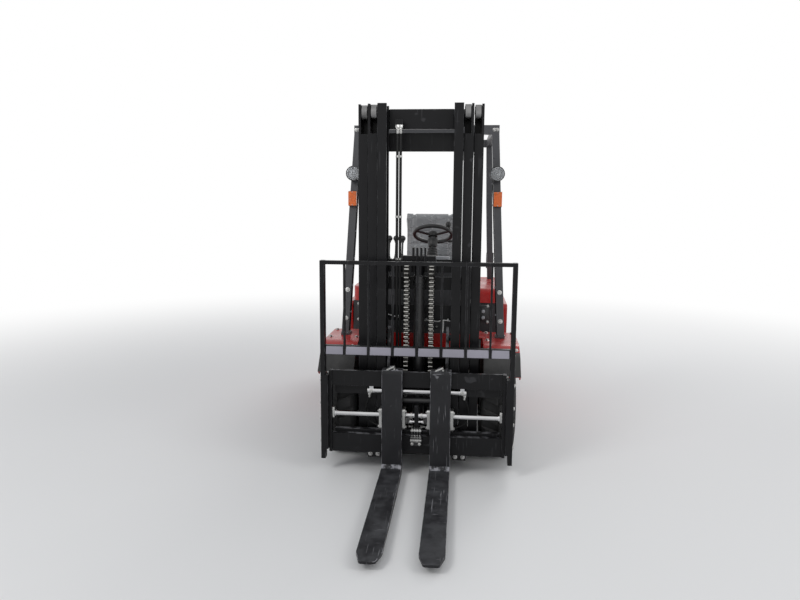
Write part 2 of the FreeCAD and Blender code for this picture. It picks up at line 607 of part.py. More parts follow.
def crosshead():
    """The free lift rod with a yoke that carries the two chain pulleys."""
    y = stage_front_y("inner") + CHANNEL_DEPTH - FREE_LIFT_R - 7
    rod = bar_z((460, YOKE_Z), 0, y, FREE_ROD_R)
    yoke = block((-CHAIN_X - 24, CHAIN_X + 24), (PULLEY_Y - 26, PULLEY_Y + 26), (YOKE_Z, YOKE_Z + 28))
    ribs = [block((px - 6, px + 6), (PULLEY_Y - 34, PULLEY_Y + 40), (YOKE_Z, YOKE_Z + 78))
            for px in (-36, -12, 12, 36)]
    cheeks = []
    for px in (CHAIN_X - 22, CHAIN_X + 22):
        cheeks += both(block((px - 4, px + 4), (PULLEY_Y - 20, PULLEY_Y + 20), (PULLEY_Z - 22, YOKE_Z + 2)))
    pulleys = both(bar_x((CHAIN_X - 15, CHAIN_X + 15), PULLEY_Y, PULLEY_Z, PULLEY_R))
    pins = both(bar_x((CHAIN_X - 19, CHAIN_X + 19), PULLEY_Y, PULLEY_Z, 14))
    return join(rod, yoke, ribs, cheeks, pulleys, pins)


def chain_strand(y, z):
    return both(block((CHAIN_X - CHAIN_WIDTH / 2, CHAIN_X + CHAIN_WIDTH / 2),
                      (y - CHAIN_THICK / 2, y + CHAIN_THICK / 2), z))


def chain_front():
    return apart(chain_strand(CHAIN_FRONT_Y, (CHAIN_FOOT_Z, PULLEY_Z)))


def chain_rear():
    return apart(chain_strand(CHAIN_REAR_Y, (CHAIN_ANCHOR_Z, PULLEY_Z)))


# Tilt cylinders

def tilt_barrels():
    head = TILT_FOOT + TILT_LINE * TILT_BARREL_LENGTH
    barrel = bar_between(TILT_FOOT + TILT_LINE * 50, head, TILT_BARREL_R)
    gland = bar_between(head, head + TILT_LINE * 14, TILT_BARREL_R - 10)
    eye = bar_x((TILT_X - 15, TILT_X + 15), TILT_FOOT_Y, TILT_FOOT_Z, 34)
    neck = bar_between(TILT_FOOT, TILT_FOOT + TILT_LINE * 60, 12)
    body = join(barrel, gland, eye, neck)
    body = body.cut(bar_x((TILT_X - 20, TILT_X + 20), TILT_FOOT_Y, TILT_FOOT_Z, TILT_PIN_R + PIN_GAP))
    bore = bar_between(TILT_FOOT + TILT_LINE * 120, head + TILT_LINE * 20, TILT_ROD_R + PIN_GAP)
    return apart(both(body.cut(bore)))


def tilt_rods():
    rod = bar_between(TILT_FOOT + TILT_LINE * 190, TILT_EYE, TILT_ROD_R)
    eye = bar_x((TILT_X - TILT_EYE_HALF, TILT_X + TILT_EYE_HALF), TILT_PIN_Y, TILT_PIN_Z, 27)
    body = join(rod, eye)
    bore = bar_x((TILT_X - 20, TILT_X + 20), TILT_PIN_Y, TILT_PIN_Z, TILT_PIN_R + TILT_EYE_PLAY)
    return apart(both(body.cut(bore)))


# Axles and wheels

def drive_axle():
    """A tube with the gear case in the middle and a spindle at each end."""
    tube = bar_x((-372, 372), AXLE_Y, AXLE_Z, AXLE_TUBE_R)
    case = turned_x([(-150, 0), (-150, 80), (-90, 130), (90, 130), (150, 80), (150, 0)], AXLE_Y, AXLE_Z)
    motor = bar_y((AXLE_Y + 60, AXLE_Y + 430), 0, AXLE_Z, 115)
    spindles = both(bar_x((372, 470), AXLE_Y, AXLE_Z, 38))
    return join(tube, case, motor, spindles)


def drive_tyre(side):
    half = DRIVE_TYRE_W / 2
    r = DRIVE_TYRE_R
    outline = [(-half + 18, DRIVE_RIM_R), (-half + 2, DRIVE_RIM_R + 30), (-half, r - 75),
               (-half + 8, r - 22), (-half + 28, r), (half - 28, r), (half - 8, r - 22), (half, r - 75),
               (half - 2, DRIVE_RIM_R + 30), (half - 18, DRIVE_RIM_R)]
    return turned_x([(side * DRIVE_TRACK_X + px, pr) for px, pr in outline], AXLE_Y, AXLE_Z)


def drive_rim(side):
    """A dished disc wheel on a hub that turns on the spindle."""
    half = DRIVE_TYRE_W / 2 - 14
    outline = [
        (-half, DRIVE_RIM_R), (-half, DRIVE_RIM_R - 12), (4, DRIVE_RIM_R - 20), (22, 120), (-60, 90),
        (-112, 90), (-112, 38 + PIN_GAP), (58, 38 + PIN_GAP), (58, 70), (34, 96), (38, 124),
        (22, DRIVE_RIM_R - 20), (half, DRIVE_RIM_R - 12), (half, DRIVE_RIM_R),
    ]
    body = turned_x([(side * (DRIVE_TRACK_X + px), pr) for px, pr in outline], AXLE_Y, AXLE_Z)
    cap_x = sorted((side * (DRIVE_TRACK_X + 58), side * (DRIVE_TRACK_X + 74)))
    return join(body, bar_x(cap_x, AXLE_Y, AXLE_Z, 60))


def steer_axle():
    """A beam with a kingpin at each end, hung under the counterweight."""
    beam = block((-KINGPIN_X + 20, KINGPIN_X - 20), (STEER_Y - 42, STEER_Y + 42),
                 (STEER_Z - 45, STEER_Z + 45))
    ends = both(bar_z((STEER_Z - 45, STEER_Z + 45), KINGPIN_X, STEER_Y, 42))
    pins = both(bar_z((STEER_Z - 88, STEER_Z + 88), KINGPIN_X, STEER_Y, KINGPIN_R))
    hanger = block((-62, 62), (STEER_Y - 110, STEER_Y + 110), (STEER_Z - 30, STEER_ARCH_TOP_Z))
    cylinder = bar_x((-84, 84), STEER_Y - 80, STEER_Z, 32)
    return join(beam, ends, pins, hanger, cylinder)


def knuckle(side):
    """A fork round the kingpin with the wheel's spindle."""
    z_low, z_high = STEER_Z - 88, STEER_Z + 88
    outline = [(KINGPIN_X - 40, STEER_Y - 34, 28), (KINGPIN_X + 66, STEER_Y - 34),
               (KINGPIN_X + 66, STEER_Y + 34), (KINGPIN_X - 40, STEER_Y + 34, 28)]
    plate_top = slab_z(outline, (STEER_Z + 45 + SLIDE_GAP, z_high))
    plate_low = slab_z(outline, (z_low, STEER_Z - 45 - SLIDE_GAP))
    web = block((KINGPIN_X + 47, KINGPIN_X + 66), (STEER_Y - 34, STEER_Y + 34), (z_low, z_high))
    spindle = bar_x((KINGPIN_X + 66, STEER_TRACK_X + 30), STEER_Y, STEER_Z, 26)
    body = join(plate_top, plate_low, web, spindle)
    body = body.cut(bar_z((z_low - 1, z_high + 1), KINGPIN_X, STEER_Y, KINGPIN_R + PIN_GAP))
    return body if side > 0 else mirrored(body)


def steer_tyre(side):
    half = STEER_TYRE_W / 2
    r = STEER_TYRE_R
    outline = [(-half + 12, STEER_RIM_R), (-half, STEER_RIM_R + 30), (-half, r - 55),
               (-half + 7, r - 17), (-half + 22, r), (half - 22, r), (half - 7, r - 17), (half, r - 55),
               (half, STEER_RIM_R + 30), (half - 12, STEER_RIM_R)]
    return turned_x([(side * STEER_TRACK_X + px, pr) for px, pr in outline], STEER_Y, STEER_Z)


def steer_rim(side):
    half = STEER_TYRE_W / 2 - 10
    bore = 26 + PIN_GAP
    outline = [
        (-half, STEER_RIM_R), (-half, STEER_RIM_R - 10), (10, STEER_RIM_R - 16), (20, 88), (-30, 66),
        (-60, 66), (-60, bore), (34, bore), (34, 52), (32, 80), (34, 96),
        (24, STEER_RIM_R - 16), (half, STEER_RIM_R - 10), (half, STEER_RIM_R),
    ]
    body = turned_x([(side * (STEER_TRACK_X + px), pr) for px, pr in outline], STEER_Y, STEER_Z)
    cap_x = sorted((side * (STEER_TRACK_X + 34), side * (STEER_TRACK_X + 52)))
    return join(body, bar_x(cap_x, STEER_Y, STEER_Z, 42))


# Body

def frame():
    """Front side plates on the axle, the battery tray between two bulkheads, and the steps."""
    front_plate = slab_x([(AXLE_Y - 40, 440), (AXLE_Y + 690, 440), (AXLE_Y + 690, 260), (AXLE_Y + 150, 260),
                          (AXLE_Y + 60, 300), (AXLE_Y + 60, AXLE_Z), (AXLE_Y - 40, AXLE_Z)], (236, 254))
    front_plate = join(front_plate, block((236, 254), (AXLE_Y - 40, AXLE_Y + 690), (430, FLOOR_Z)),
                       bar_x((236, 254), AXLE_Y, AXLE_Z, AXLE_TUBE_R + 30))
    front_plate = front_plate.cut(bar_x((230, 260), AXLE_Y, AXLE_Z, AXLE_TUBE_R + PIN_GAP))
    ears = [block((px, px + 12), (TILT_FOOT_Y - 36, AXLE_Y + 680), (400, 500))
            for px in (TILT_X - 29, TILT_X + 17)]
    front_rear = AXLE_Y + 674
    pin = bar_x((TILT_X - 31, TILT_X + 31), TILT_FOOT_Y, TILT_FOOT_Z, TILT_PIN_R)
    ears = join(ears[0], ears[1], pin, block((254, TILT_X + 29), (AXLE_Y + 560, front_rear + 2), (380, 402)))
    top = HOOD_BOTTOM_Z - SLIDE_GAP
    bulkhead = block((-560, 560), (front_rear, front_rear + 16), (250, top))
    tray = block((-560, 560), (front_rear, WEIGHT_FRONT_Y - 10), (250, 266))
    rear = block((-560, 560), (WEIGHT_FRONT_Y - 22, WEIGHT_FRONT_Y - 6), (250, top))
    step = [
        block((470, 605), (AXLE_Y + 395, front_rear + 10), (330, 346)),
        block((456, 470), (AXLE_Y + 395, front_rear + 10), (330, FLOOR_Z)),
        block((470, 605), (AXLE_Y + 395, AXLE_Y + 407), (330, FLOOR_Z)),
        block((254, 470), (AXLE_Y + 520, AXLE_Y + 536), (440, 480)),
    ]
    return join(both(join(front_plate, ears)), bulkhead, tray, rear,
                [piece for part in step for piece in both(part)])


def fenders():
    """Arched sheet over each drive wheel with a rolled outer edge, and the red plate between."""
    outer = [(AXLE_Y + y, AXLE_Z + z, r) for y, z, r in FENDER_LINE]

    def skin(thick):
        inner = []
        for y, z, r in FENDER_LINE:
            keep = 1 - thick / math.hypot(y, z)
            inner.append((AXLE_Y + y * keep, AXLE_Z + z * keep, r * keep))
        return outer + inner[::-1]

    sheet = slab_x(skin(8), (400, 625))
    lip = slab_x(skin(40), (617, 625))
    wall = slab_x([(AXLE_Y + 70, FLOOR_Z + PLATE), (AXLE_Y + 372, FLOOR_Z + PLATE), (AXLE_Y + 300, 748),
                   (AXLE_Y + 70, 748)], (366, 376))
    shelf = block((366, 402), (AXLE_Y + 70, AXLE_Y + 300), (742, FENDER_TOP_Z))
    front = block((-376, 376), (AXLE_Y + 70, AXLE_Y + 82), (FLOOR_Z + PLATE, 770))
    return join(both(join(sheet, lip, wall, shelf)), front)


def floor_plate():
    narrow = block((-376, 376), (AXLE_Y + 70, AXLE_Y + 400), (FLOOR_Z, FLOOR_Z + PLATE))
    wide = block((-540, 540), (AXLE_Y + 398, AXLE_Y + 672), (FLOOR_Z, FLOOR_Z + PLATE))
    return join(narrow, wide)


def front_cowl():
    """The dashboard housing between the guard's front legs."""
    front = AXLE_Y + 84
    outline = [(front, COWL_TOP_Z - 30, 26), (front + 190, COWL_TOP_Z, 12),
               (front + 232, COWL_TOP_Z - 40, 14), (front + 150, 1100, 60), (front + 34, 780, 60),
               (front + 34, FLOOR_Z + PLATE), (front, FLOOR_Z + PLATE)]
    body = slab_x(outline, (-366, 366))
    hollow = [(front + 12, COWL_TOP_Z - 70), (front + 36, COWL_TOP_Z - 40), (front + 185, COWL_TOP_Z - 16),
              (front + 205, COWL_TOP_Z - 44), (front + 135, 1100), (front + 22, 784),
              (front + 22, FLOOR_Z + PLATE - 1), (front + 12, FLOOR_Z + PLATE - 1)]
    cavity = slab_x(hollow, (-352, 352))
    return body.cut(cavity)


def steering_column():
    """A column that leans back from the floor plate, with a boot below the wheel."""
    top = V(WHEEL_X, WHEEL_Y, WHEEL_Z)
    lean = math.radians(COLUMN_TILT)
    down = V(0, -math.sin(lean), -math.cos(lean))
    reach = (WHEEL_Z - FLOOR_Z) / math.cos(lean)
    shaft = bar_between(top + down * HUB_STEP_Z, top + down * reach, 18)
    boot = Part.makeCone(30, 44, 150, top + down * 120, down)
    body = join(shaft, boot)
    foot_y = WHEEL_Y - (WHEEL_Z - FLOOR_Z - PLATE) * math.tan(lean)
    floor = FLOOR_Z + PLATE
    foot = block((WHEEL_X - 40, WHEEL_X + 40), (foot_y - 18, foot_y + 70), (floor, floor + 14))
    below = block((WHEEL_X - 60, WHEEL_X + 60), (foot_y - 200, foot_y + 200), (floor - 200, floor))
    return join(body.cut(below), foot)


def steering_wheel():
    """A rim on three spokes, leaning with the column."""
    ring = Part.makeTorus(STEERING_WHEEL_R - STEERING_RIM_R, STEERING_RIM_R)
    hub = Part.makeCylinder(34, 10 + HUB_STEP_Z, V(0, 0, -HUB_STEP_Z))
    spokes = [Part.makeBox(STEERING_WHEEL_R - 16, 22, 8, V(0, -11, -12)) for _ in range(3)]
    for i, spoke in enumerate(spokes):
        spoke.rotate(V(0, 0, 0), Z_AXIS, 90 + 120 * i)
    wheel = join(ring, hub, spokes)
    wheel.rotate(V(0, 0, 0), X_AXIS, -COLUMN_TILT)
    wheel.translate(V(WHEEL_X, WHEEL_Y, WHEEL_Z))
    return wheel


def pedals():
    """Brake and accelerator, each a pad on an arm that stands on the floor plate."""
    pieces = []
    base = FLOOR_Z + PLATE
    front = AXLE_Y + 190
    for px, width in ((-70, 70), (-200, 90)):
        arm = slab_x([(front, base), (front + 60, base), (front + 60, base + 14), (front + 24, base + 22),
                      (front + 34, base + 90), (front + 20, base + 94)], (px - 9, px + 9))
        pad = slab_x([(front + 14, base + 66), (front + 26, base + 58), (front + 62, base + 130),
                      (front + 50, base + 138)], (px - width / 2, px + width / 2))
        pieces.append(join(arm, pad))
    return apart(pieces)


def control_levers():
    """Four hydraulic levers on top of the cowl, right of the wheel."""
    pieces = []
    for i in range(4):
        px = -150 - 45 * i
        foot = V(px, AXLE_Y + 200, COWL_TOP_Z - 8)
        knob = V(px, AXLE_Y + 250, COWL_TOP_Z + 150)
        console = slab_x(LEVER_BASE, (px - 18, px + 18))
        pieces.append(join(bar_between(foot, knob, 6), Part.makeSphere(20, knob), console))
    return apart(pieces)


def battery_block():
    return block((-500, 500), (AXLE_Y + 696, WEIGHT_FRONT_Y - 30), (266, HOOD_TOP_Z - 115))


def side_panels():
    """The painted sides beside the battery."""
    rear = WEIGHT_FRONT_Y - 6
    outline = [(AXLE_Y + 684, 250, 30), (rear, 250), (rear, 890), (AXLE_Y + 656, 890, 34),
               (AXLE_Y + 662, 760, 60), (AXLE_Y + 684, 620, 60)]
    return apart(both(slab_x(outline, (560, 600))))


def counterweight():
    """The cast rear of the truck, rounded in plan and in profile, with open wheel arches."""
    front = WEIGHT_FRONT_Y
    half = 600
    top = COUNTERWEIGHT_TOP_Z
    plan = [(-half, front), (half, front), (half, REAR_Y - 330, 900), (half - 45, REAR_Y, 210),
            (45 - half, REAR_Y, 210), (-half, REAR_Y - 330, 900)]
    profile = [(front, 250), (front, 885), (front + 62, 885), (front + 62, top, 8),
               (REAR_Y - 130, top - 18, 150), (REAR_Y, 650, 170), (REAR_Y, 345, 90),
               (REAR_Y - 130, 210, 70), (front + 60, 210)]
    body = slab_z(plan, (0, top + 1)).common(slab_x(profile, (-half - 1, half + 1)))
    for sx in (-1, 1):
        arch = bar_z((0, STEER_ARCH_TOP_Z), sx * KINGPIN_X, STEER_Y, STEER_ARCH_R)
        side = sorted((sx * 400, sx * 700))
        body = body.cut(arch).cut(block(side, (STEER_Y - 312, STEER_Y + 312), (0, STEER_ARCH_TOP_Z)))
    body = body.cut(block((-80, 80), (STEER_Y - 130, STEER_Y + 130), (0, STEER_ARCH_TOP_Z)))
    pocket = block((-62, 62), (REAR_Y - 120, REAR_Y + 10), (400, 500))
    body = body.cut(pocket)
    pin = bar_z((360, 540), 0, REAR_Y - 50, 16)
    low, high = HINGE_X
    hinge = [bar_x((low - 36, high + 36), HOOD_HINGE_Y, HOOD_HINGE_Z, HINGE_PIN_R)]
    for x in ((low - 36, low - 1), (high + 1, high + 36)):
        hinge.append(bar_x(x, HOOD_HINGE_Y, HOOD_HINGE_Z, 12))
        hinge.append(block(x, (HOOD_HINGE_Y, HOOD_HINGE_Y + 40), (top - 1, HOOD_HINGE_Z + 6)))
    return join(body, pin, both(join(hinge)))


def hood():
    """The hinged cover over the battery that carries the seat."""
    front, rear = AXLE_Y + 660, HOOD_HINGE_Y - 24
    outline = [(front, HOOD_BOTTOM_Z), (rear, HOOD_BOTTOM_Z), (rear, HOOD_TOP_Z, 14),
               (front + 12, HOOD_TOP_Z, 48)]
    plan = [(-560, front, 70), (560, front, 70), (560, rear), (-560, rear)]
    body = slab_x(outline, (-560, 560)).common(slab_z(plan, (HOOD_BOTTOM_Z - 1, HOOD_TOP_Z + 1)))
    cavity = block((-530, 530), (front + 30, rear - 30), (HOOD_BOTTOM_Z - 5, HOOD_TOP_Z - 24))
    x = HINGE_X
    knuckle = join(
        bar_x(x, HOOD_HINGE_Y, HOOD_HINGE_Z, 12),
        block(x, (rear - 4, HOOD_HINGE_Y), (HOOD_HINGE_Z - 12, HOOD_HINGE_Z)))
    knuckle = knuckle.cut(bar_x((x[0] - 1, x[1] + 1), HOOD_HINGE_Y, HOOD_HINGE_Z, HINGE_PIN_R + PIN_GAP))
    return join(body.cut(cavity), both(knuckle))


def seat_frame():
    return block((-215, 215), (SEAT_REAR_Y - 400, SEAT_REAR_Y + 10), (HOOD_TOP_Z, HOOD_TOP_Z + 60))


def seat_cushion():
    rear = SEAT_REAR_Y
    low, high = HOOD_TOP_Z + 60, HOOD_TOP_Z + 170
    outline = [(rear - 450, low, 30), (rear, low, 12), (rear, high - 30, 20), (rear - 380, high, 60),
               (rear - 445, high - 12, 34)]
    return slab_x(outline, (-240, 240))


def seat_back():
    front = SEAT_REAR_Y + REST_GAP
    low, high = HOOD_TOP_Z + 90, HOOD_TOP_Z + 560
    outline = [(front, low, 10), (front + 72, low, 20), (front + 152, high - 20, 24),
               (front + 128, high, 24), (front + 86, high, 34), (front + 62, high - 40, 60),
               (front, low + 30, 60)]
    return slab_x(outline, (-230, 230))


# Overhead guard and lamps

def leg(stations, width, depth):
    sections = []
    for px, y, z in stations:
        corners = [V(px - width / 2, y - depth / 2, z), V(px + width / 2, y - depth / 2, z),
                   V(px + width / 2, y + depth / 2, z), V(px - width / 2, y + depth / 2, z)]
        sections.append(Part.makePolygon(corners + corners[:1]))
    return Part.makeLoft(sections, True, True)


def overhead_guard():
    """Four legs, a roof frame and lengthwise roof bars."""
    front_leg = leg(FRONT_LEG, LEG_WIDTH, LEG_DEPTH)
    rear_leg = leg(REAR_LEG, LEG_WIDTH, LEG_DEPTH)
    low = GUARD_HEIGHT - 60
    front, rear = FACE_Y + 760, WEIGHT_FRONT_Y + 53
    rail = block((438, 486), (front, rear), (low, GUARD_HEIGHT))
    header = block((-486, 486), (front, front + 50), (low, GUARD_HEIGHT))
    tail = block((-486, 486), (rear - 50, rear), (low, GUARD_HEIGHT))
    bars = [block((px - 14, px + 14), (front + 10, rear - 10), (low + 20, GUARD_HEIGHT - 5))
            for px in (-330, -198, -66, 66, 198, 330)]
    foot = both(block((485, 545), (FACE_Y + 545, FACE_Y + 645), (FENDER_TOP_Z, FENDER_TOP_Z + 12)))
    grip = []
    for z in (GUARD_HEIGHT - 1015, GUARD_HEIGHT - 665):
        x, y = leg_at(FRONT_LEG, z)
        grip += [V(x, y + LEG_DEPTH / 2 - 2, z), V(x, y + LEG_DEPTH / 2 + 55, z)]
    grip = tube_path([grip[0], grip[1], grip[3], grip[2]], 11)
    return join(both(front_leg), both(rear_leg), both(rail), header, tail, bars, foot, grip)


def leg_at(stations, z):
    """Centre of a leg at a height: (x, y)."""
    for (x0, y0, z0), (x1, y1, z1) in zip(stations, stations[1:]):
        if z0 <= z <= z1:
            share = (z - z0) / (z1 - z0)
            return x0 + share * (x1 - x0), y0 + share * (y1 - y0)


def work_lamps():
    """Two round lamps in front of the guard's front legs."""
    z = GUARD_HEIGHT - 323
    x, y = leg_at(FRONT_LEG, z - 12)
    face = y - LEG_DEPTH / 2
    body = join(bar_y((face - 78, face - 18), x, z, 49), bar_y((face - 19, face - 10), x, z, 34),
                block((x - 14, x + 14), (face - 12, face), (z - 12, z + 12)))
    return apart(both(body))


def signal_lamps():
    """Orange turn lamps below the work lamps."""
    low, high = GUARD_HEIGHT - 535, GUARD_HEIGHT - 440
    x, y = leg_at(FRONT_LEG, low)
    face = y - LEG_DEPTH / 2
    return apart(both(block((x - 27, x + 27), (face - 34, face), (low, high))))


def tail_lamps():
    """A lamp housing on the rear face of each rear leg."""
    low, high = COUNTERWEIGHT_TOP_Z + 120, COUNTERWEIGHT_TOP_Z + 250
    x, y = leg_at(REAR_LEG, low)
    face = y + LEG_DEPTH / 2
    return apart(both(block((x - 30, x + 30), (face, face + 36), (low, high))))


PARTS = {
    "frame": frame,
    "fenders": fenders,
    "floor_plate": floor_plate,
    "front_cowl": front_cowl,
    "steering_column": steering_column,
    "pedals": pedals,
    "control_levers": control_levers,
    "battery_block": battery_block,
    "side_panels": side_panels,
    "counterweight": counterweight,
    "overhead_guard": overhead_guard,
    "work_lamps": work_lamps,
    "signal_lamps": signal_lamps,
    "tail_lamps": tail_lamps,
    "drive_axle": drive_axle,
    "steer_axle": steer_axle,
    "hood": hood,
    "seat_frame": seat_frame,
    "seat_cushion": seat_cushion,
    "seat_back": seat_back,
    "steering_wheel": steering_wheel,
    "tilt_barrels": tilt_barrels,
    "tilt_rods": tilt_rods,
    "outer_mast": outer_mast,
    "lift_barrels": lift_barrels,
    "middle_mast": middle_mast,
    "lift_rods": lift_rods,
    "inner_mast": inner_mast,
    "mast_hoses": mast_hoses,
    "free_lift_barrel": free_lift_barrel,
    "chain_rear": chain_rear,
    "crosshead": crosshead,
    "chain_front": chain_front,
    "carriage": carriage,
    "shift_cylinder": shift_cylinder,
    "positioner_frame": positioner_frame,
    "guide_rods": guide_rods,
    "hose_manifold": hose_manifold,
    "positioner_hoses": positioner_hoses,
    "load_backrest": load_backrest,
}

# Pieces made once for each side: the operator's left is +X
SIDED_PARTS = {
    "drive_tyre": drive_tyre,
    "drive_rim": drive_rim,
    "knuckle": knuckle,
    "steer_tyre": steer_tyre,
    "steer_rim": steer_rim,
    "fork": fork,
    "fork_clamp": fork_clamp,
}


def main():
    os.makedirs("parts", exist_ok=True)
    shapes = {name: make() for name, make in PARTS.items()}
    for name, make in SIDED_PARTS.items():
        shapes[name + "_left"] = make(1)
        shapes[name + "_right"] = make(-1)
    for name, shape in shapes.items():
        shape.exportStep("parts/" + name + ".step")
        box = shape.BoundBox
        print(f"{name:20s} solids {len(shape.Solids)} valid {shape.isValid()} "
              f"volume {shape.Volume / 1e6:8.2f} dm3 "
              f"x {box.XMin:7.1f} {box.XMax:7.1f} y {box.YMin:8.1f} {box.YMax:7.1f} "
              f"z {box.ZMin:7.1f} {box.ZMax:7.1f}")


main()
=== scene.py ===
# %% [markdown]
# # A forklift truck, dressed for a photograph
#
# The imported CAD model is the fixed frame: every plate, wheel and rod already has its true size
# and place. This lesson adds what a camera sees, which is rounded edges, tread, bolts, hoses,
# chains, padding and the paint itself. Everything is in metres, +Z up, and the forks point to -Y.

# %% Load the frame
import json
import math

import bmesh
import bpy
from mathutils import Matrix, Vector
from mathutils.bvhtree import BVHTree
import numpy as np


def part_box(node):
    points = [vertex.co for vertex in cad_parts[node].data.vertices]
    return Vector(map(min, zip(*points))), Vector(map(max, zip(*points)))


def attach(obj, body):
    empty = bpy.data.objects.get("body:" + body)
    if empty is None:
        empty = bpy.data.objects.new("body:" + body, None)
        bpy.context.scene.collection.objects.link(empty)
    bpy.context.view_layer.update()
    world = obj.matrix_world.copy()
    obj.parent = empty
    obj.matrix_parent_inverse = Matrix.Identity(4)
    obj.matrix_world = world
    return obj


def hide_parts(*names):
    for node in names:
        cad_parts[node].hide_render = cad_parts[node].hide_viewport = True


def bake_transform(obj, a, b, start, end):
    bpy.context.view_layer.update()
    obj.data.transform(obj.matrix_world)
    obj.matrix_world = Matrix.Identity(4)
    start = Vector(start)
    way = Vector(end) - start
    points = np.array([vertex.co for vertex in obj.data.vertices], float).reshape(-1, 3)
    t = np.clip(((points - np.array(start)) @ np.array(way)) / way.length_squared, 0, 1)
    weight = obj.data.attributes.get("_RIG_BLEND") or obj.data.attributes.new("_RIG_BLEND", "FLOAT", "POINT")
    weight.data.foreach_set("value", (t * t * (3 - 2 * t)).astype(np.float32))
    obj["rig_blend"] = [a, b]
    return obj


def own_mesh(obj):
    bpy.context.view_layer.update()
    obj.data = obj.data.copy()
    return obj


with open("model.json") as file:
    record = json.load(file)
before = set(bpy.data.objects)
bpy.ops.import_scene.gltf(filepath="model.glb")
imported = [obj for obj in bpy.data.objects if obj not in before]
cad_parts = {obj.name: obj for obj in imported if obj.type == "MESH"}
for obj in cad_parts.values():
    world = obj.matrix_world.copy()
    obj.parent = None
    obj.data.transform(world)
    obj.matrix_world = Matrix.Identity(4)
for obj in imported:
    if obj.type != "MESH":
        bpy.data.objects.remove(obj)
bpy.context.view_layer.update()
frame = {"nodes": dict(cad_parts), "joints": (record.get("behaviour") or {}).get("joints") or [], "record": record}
nodes = frame["nodes"]
SIDES = (("left", 1), ("right", -1))
FULL_TURN = 2 * math.pi
MM = 0.001

# %% [markdown]
# ## The camera
#
# The photograph was taken from the height of a standing person's eyes, a little to the left of
# the truck, with a phone's wide lens. A camera in Blender looks along its own -Z, so its rotation
# is built from three directions: right, up and back. That is clearer than guessing three angles.

# %% Camera
CAMERA_PLACE = Vector((0.247, -4.635, 1.637))
YAW, PITCH, ROLL = math.radians(5.17), math.radians(8.34), math.radians(0.41)
FOCAL_PIXELS, IMAGE_WIDTH, SENSOR = 669, 800, 36

ahead = Vector((-math.sin(YAW) * math.cos(PITCH), math.cos(YAW) * math.cos(PITCH), -math.sin(PITCH)))
level = Vector((math.cos(YAW), math.sin(YAW), 0))
upright = level.cross(ahead)
right = level * math.cos(ROLL) + upright * math.sin(ROLL)
up = upright * math.cos(ROLL) - level * math.sin(ROLL)

lens = bpy.data.cameras.new("camera")
lens.sensor_width = SENSOR
lens.lens = FOCAL_PIXELS / IMAGE_WIDTH * SENSOR
lens.clip_end = 100
camera = bpy.data.objects.new("camera", lens)
bpy.context.scene.collection.objects.link(camera)
camera.matrix_world = Matrix.Translation(CAMERA_PLACE) @ Matrix((right, up, -ahead)).transposed().to_4x4()
bpy.context.scene.camera = camera
print("lens mm", round(lens.lens, 2))

# %% [markdown]
# ## Floor and light
#
# A studio picture of a black machine lives from what it reflects. The world is a soft grey light,
# but rays that come straight from the camera, from a mirror or through glass see plain white, so
# the background stays white without more light falling on the paint. Large lamps give soft edges.
# The floor is pale paint under the truck and fades to the same white further out, so that there
# is no horizon line.

# %% World, lamps and floor
WORLD_LIGHT = 0.55
world = bpy.data.worlds.new("studio")
bpy.context.scene.world = world
world.use_nodes = True
sky = world.node_tree
for node in list(sky.nodes):
    sky.nodes.remove(node)
path = sky.nodes.new("ShaderNodeLightPath")
seen = sky.nodes.new("ShaderNodeMath")
seen.operation = "ADD"
seen.use_clamp = True
sky.links.new(path.outputs["Is Camera Ray"], seen.inputs[0])
sky.links.new(path.outputs["Is Transmission Ray"], seen.inputs[1])
seen_too = sky.nodes.new("ShaderNodeMath")
seen_too.operation = "ADD"
seen_too.use_clamp = True
sky.links.new(seen.outputs[0], seen_too.inputs[0])
sky.links.new(path.outputs["Is Glossy Ray"], seen_too.inputs[1])
soft = sky.nodes.new("ShaderNodeBackground")
soft.inputs["Color"].default_value = (0.93, 0.95, 1.0, 1)
soft.inputs["Strength"].default_value = WORLD_LIGHT
plain = sky.nodes.new("ShaderNodeBackground")
plain.inputs["Color"].default_value = (1, 1, 1, 1)
blend = sky.nodes.new("ShaderNodeMixShader")
sky.links.new(seen_too.outputs[0], blend.inputs[0])
sky.links.new(soft.outputs[0], blend.inputs[1])
sky.links.new(plain.outputs[0], blend.inputs[2])
sky_out = sky.nodes.new("ShaderNodeOutputWorld")
sky.links.new(blend.outputs[0], sky_out.inputs["Surface"])


def lamp(name, place, target, size, watts):
    light = bpy.data.lights.new(name, "AREA")
    light.shape = "SQUARE"
    light.size = size
    light.energy = watts
    obj = bpy.data.objects.new(name, light)
    bpy.context.scene.collection.objects.link(obj)
    obj.location = place
    obj.rotation_euler = (Vector(target) - Vector(place)).to_track_quat("-Z", "Y").to_euler()
    return obj


lamp("key", (-3.4, -4.6, 4.6), (0, -0.3, 0.9), 1.8, 105)
lamp("fill", (4.2, -3.2, 3.4), (0, 0, 0.9), 2.2, 48)
lamp("rear", (2.2, 4.8, 4.4), (0, 0.6, 1.0), 2.4, 90)

bpy.context.scene.view_settings.view_transform = "Standard"

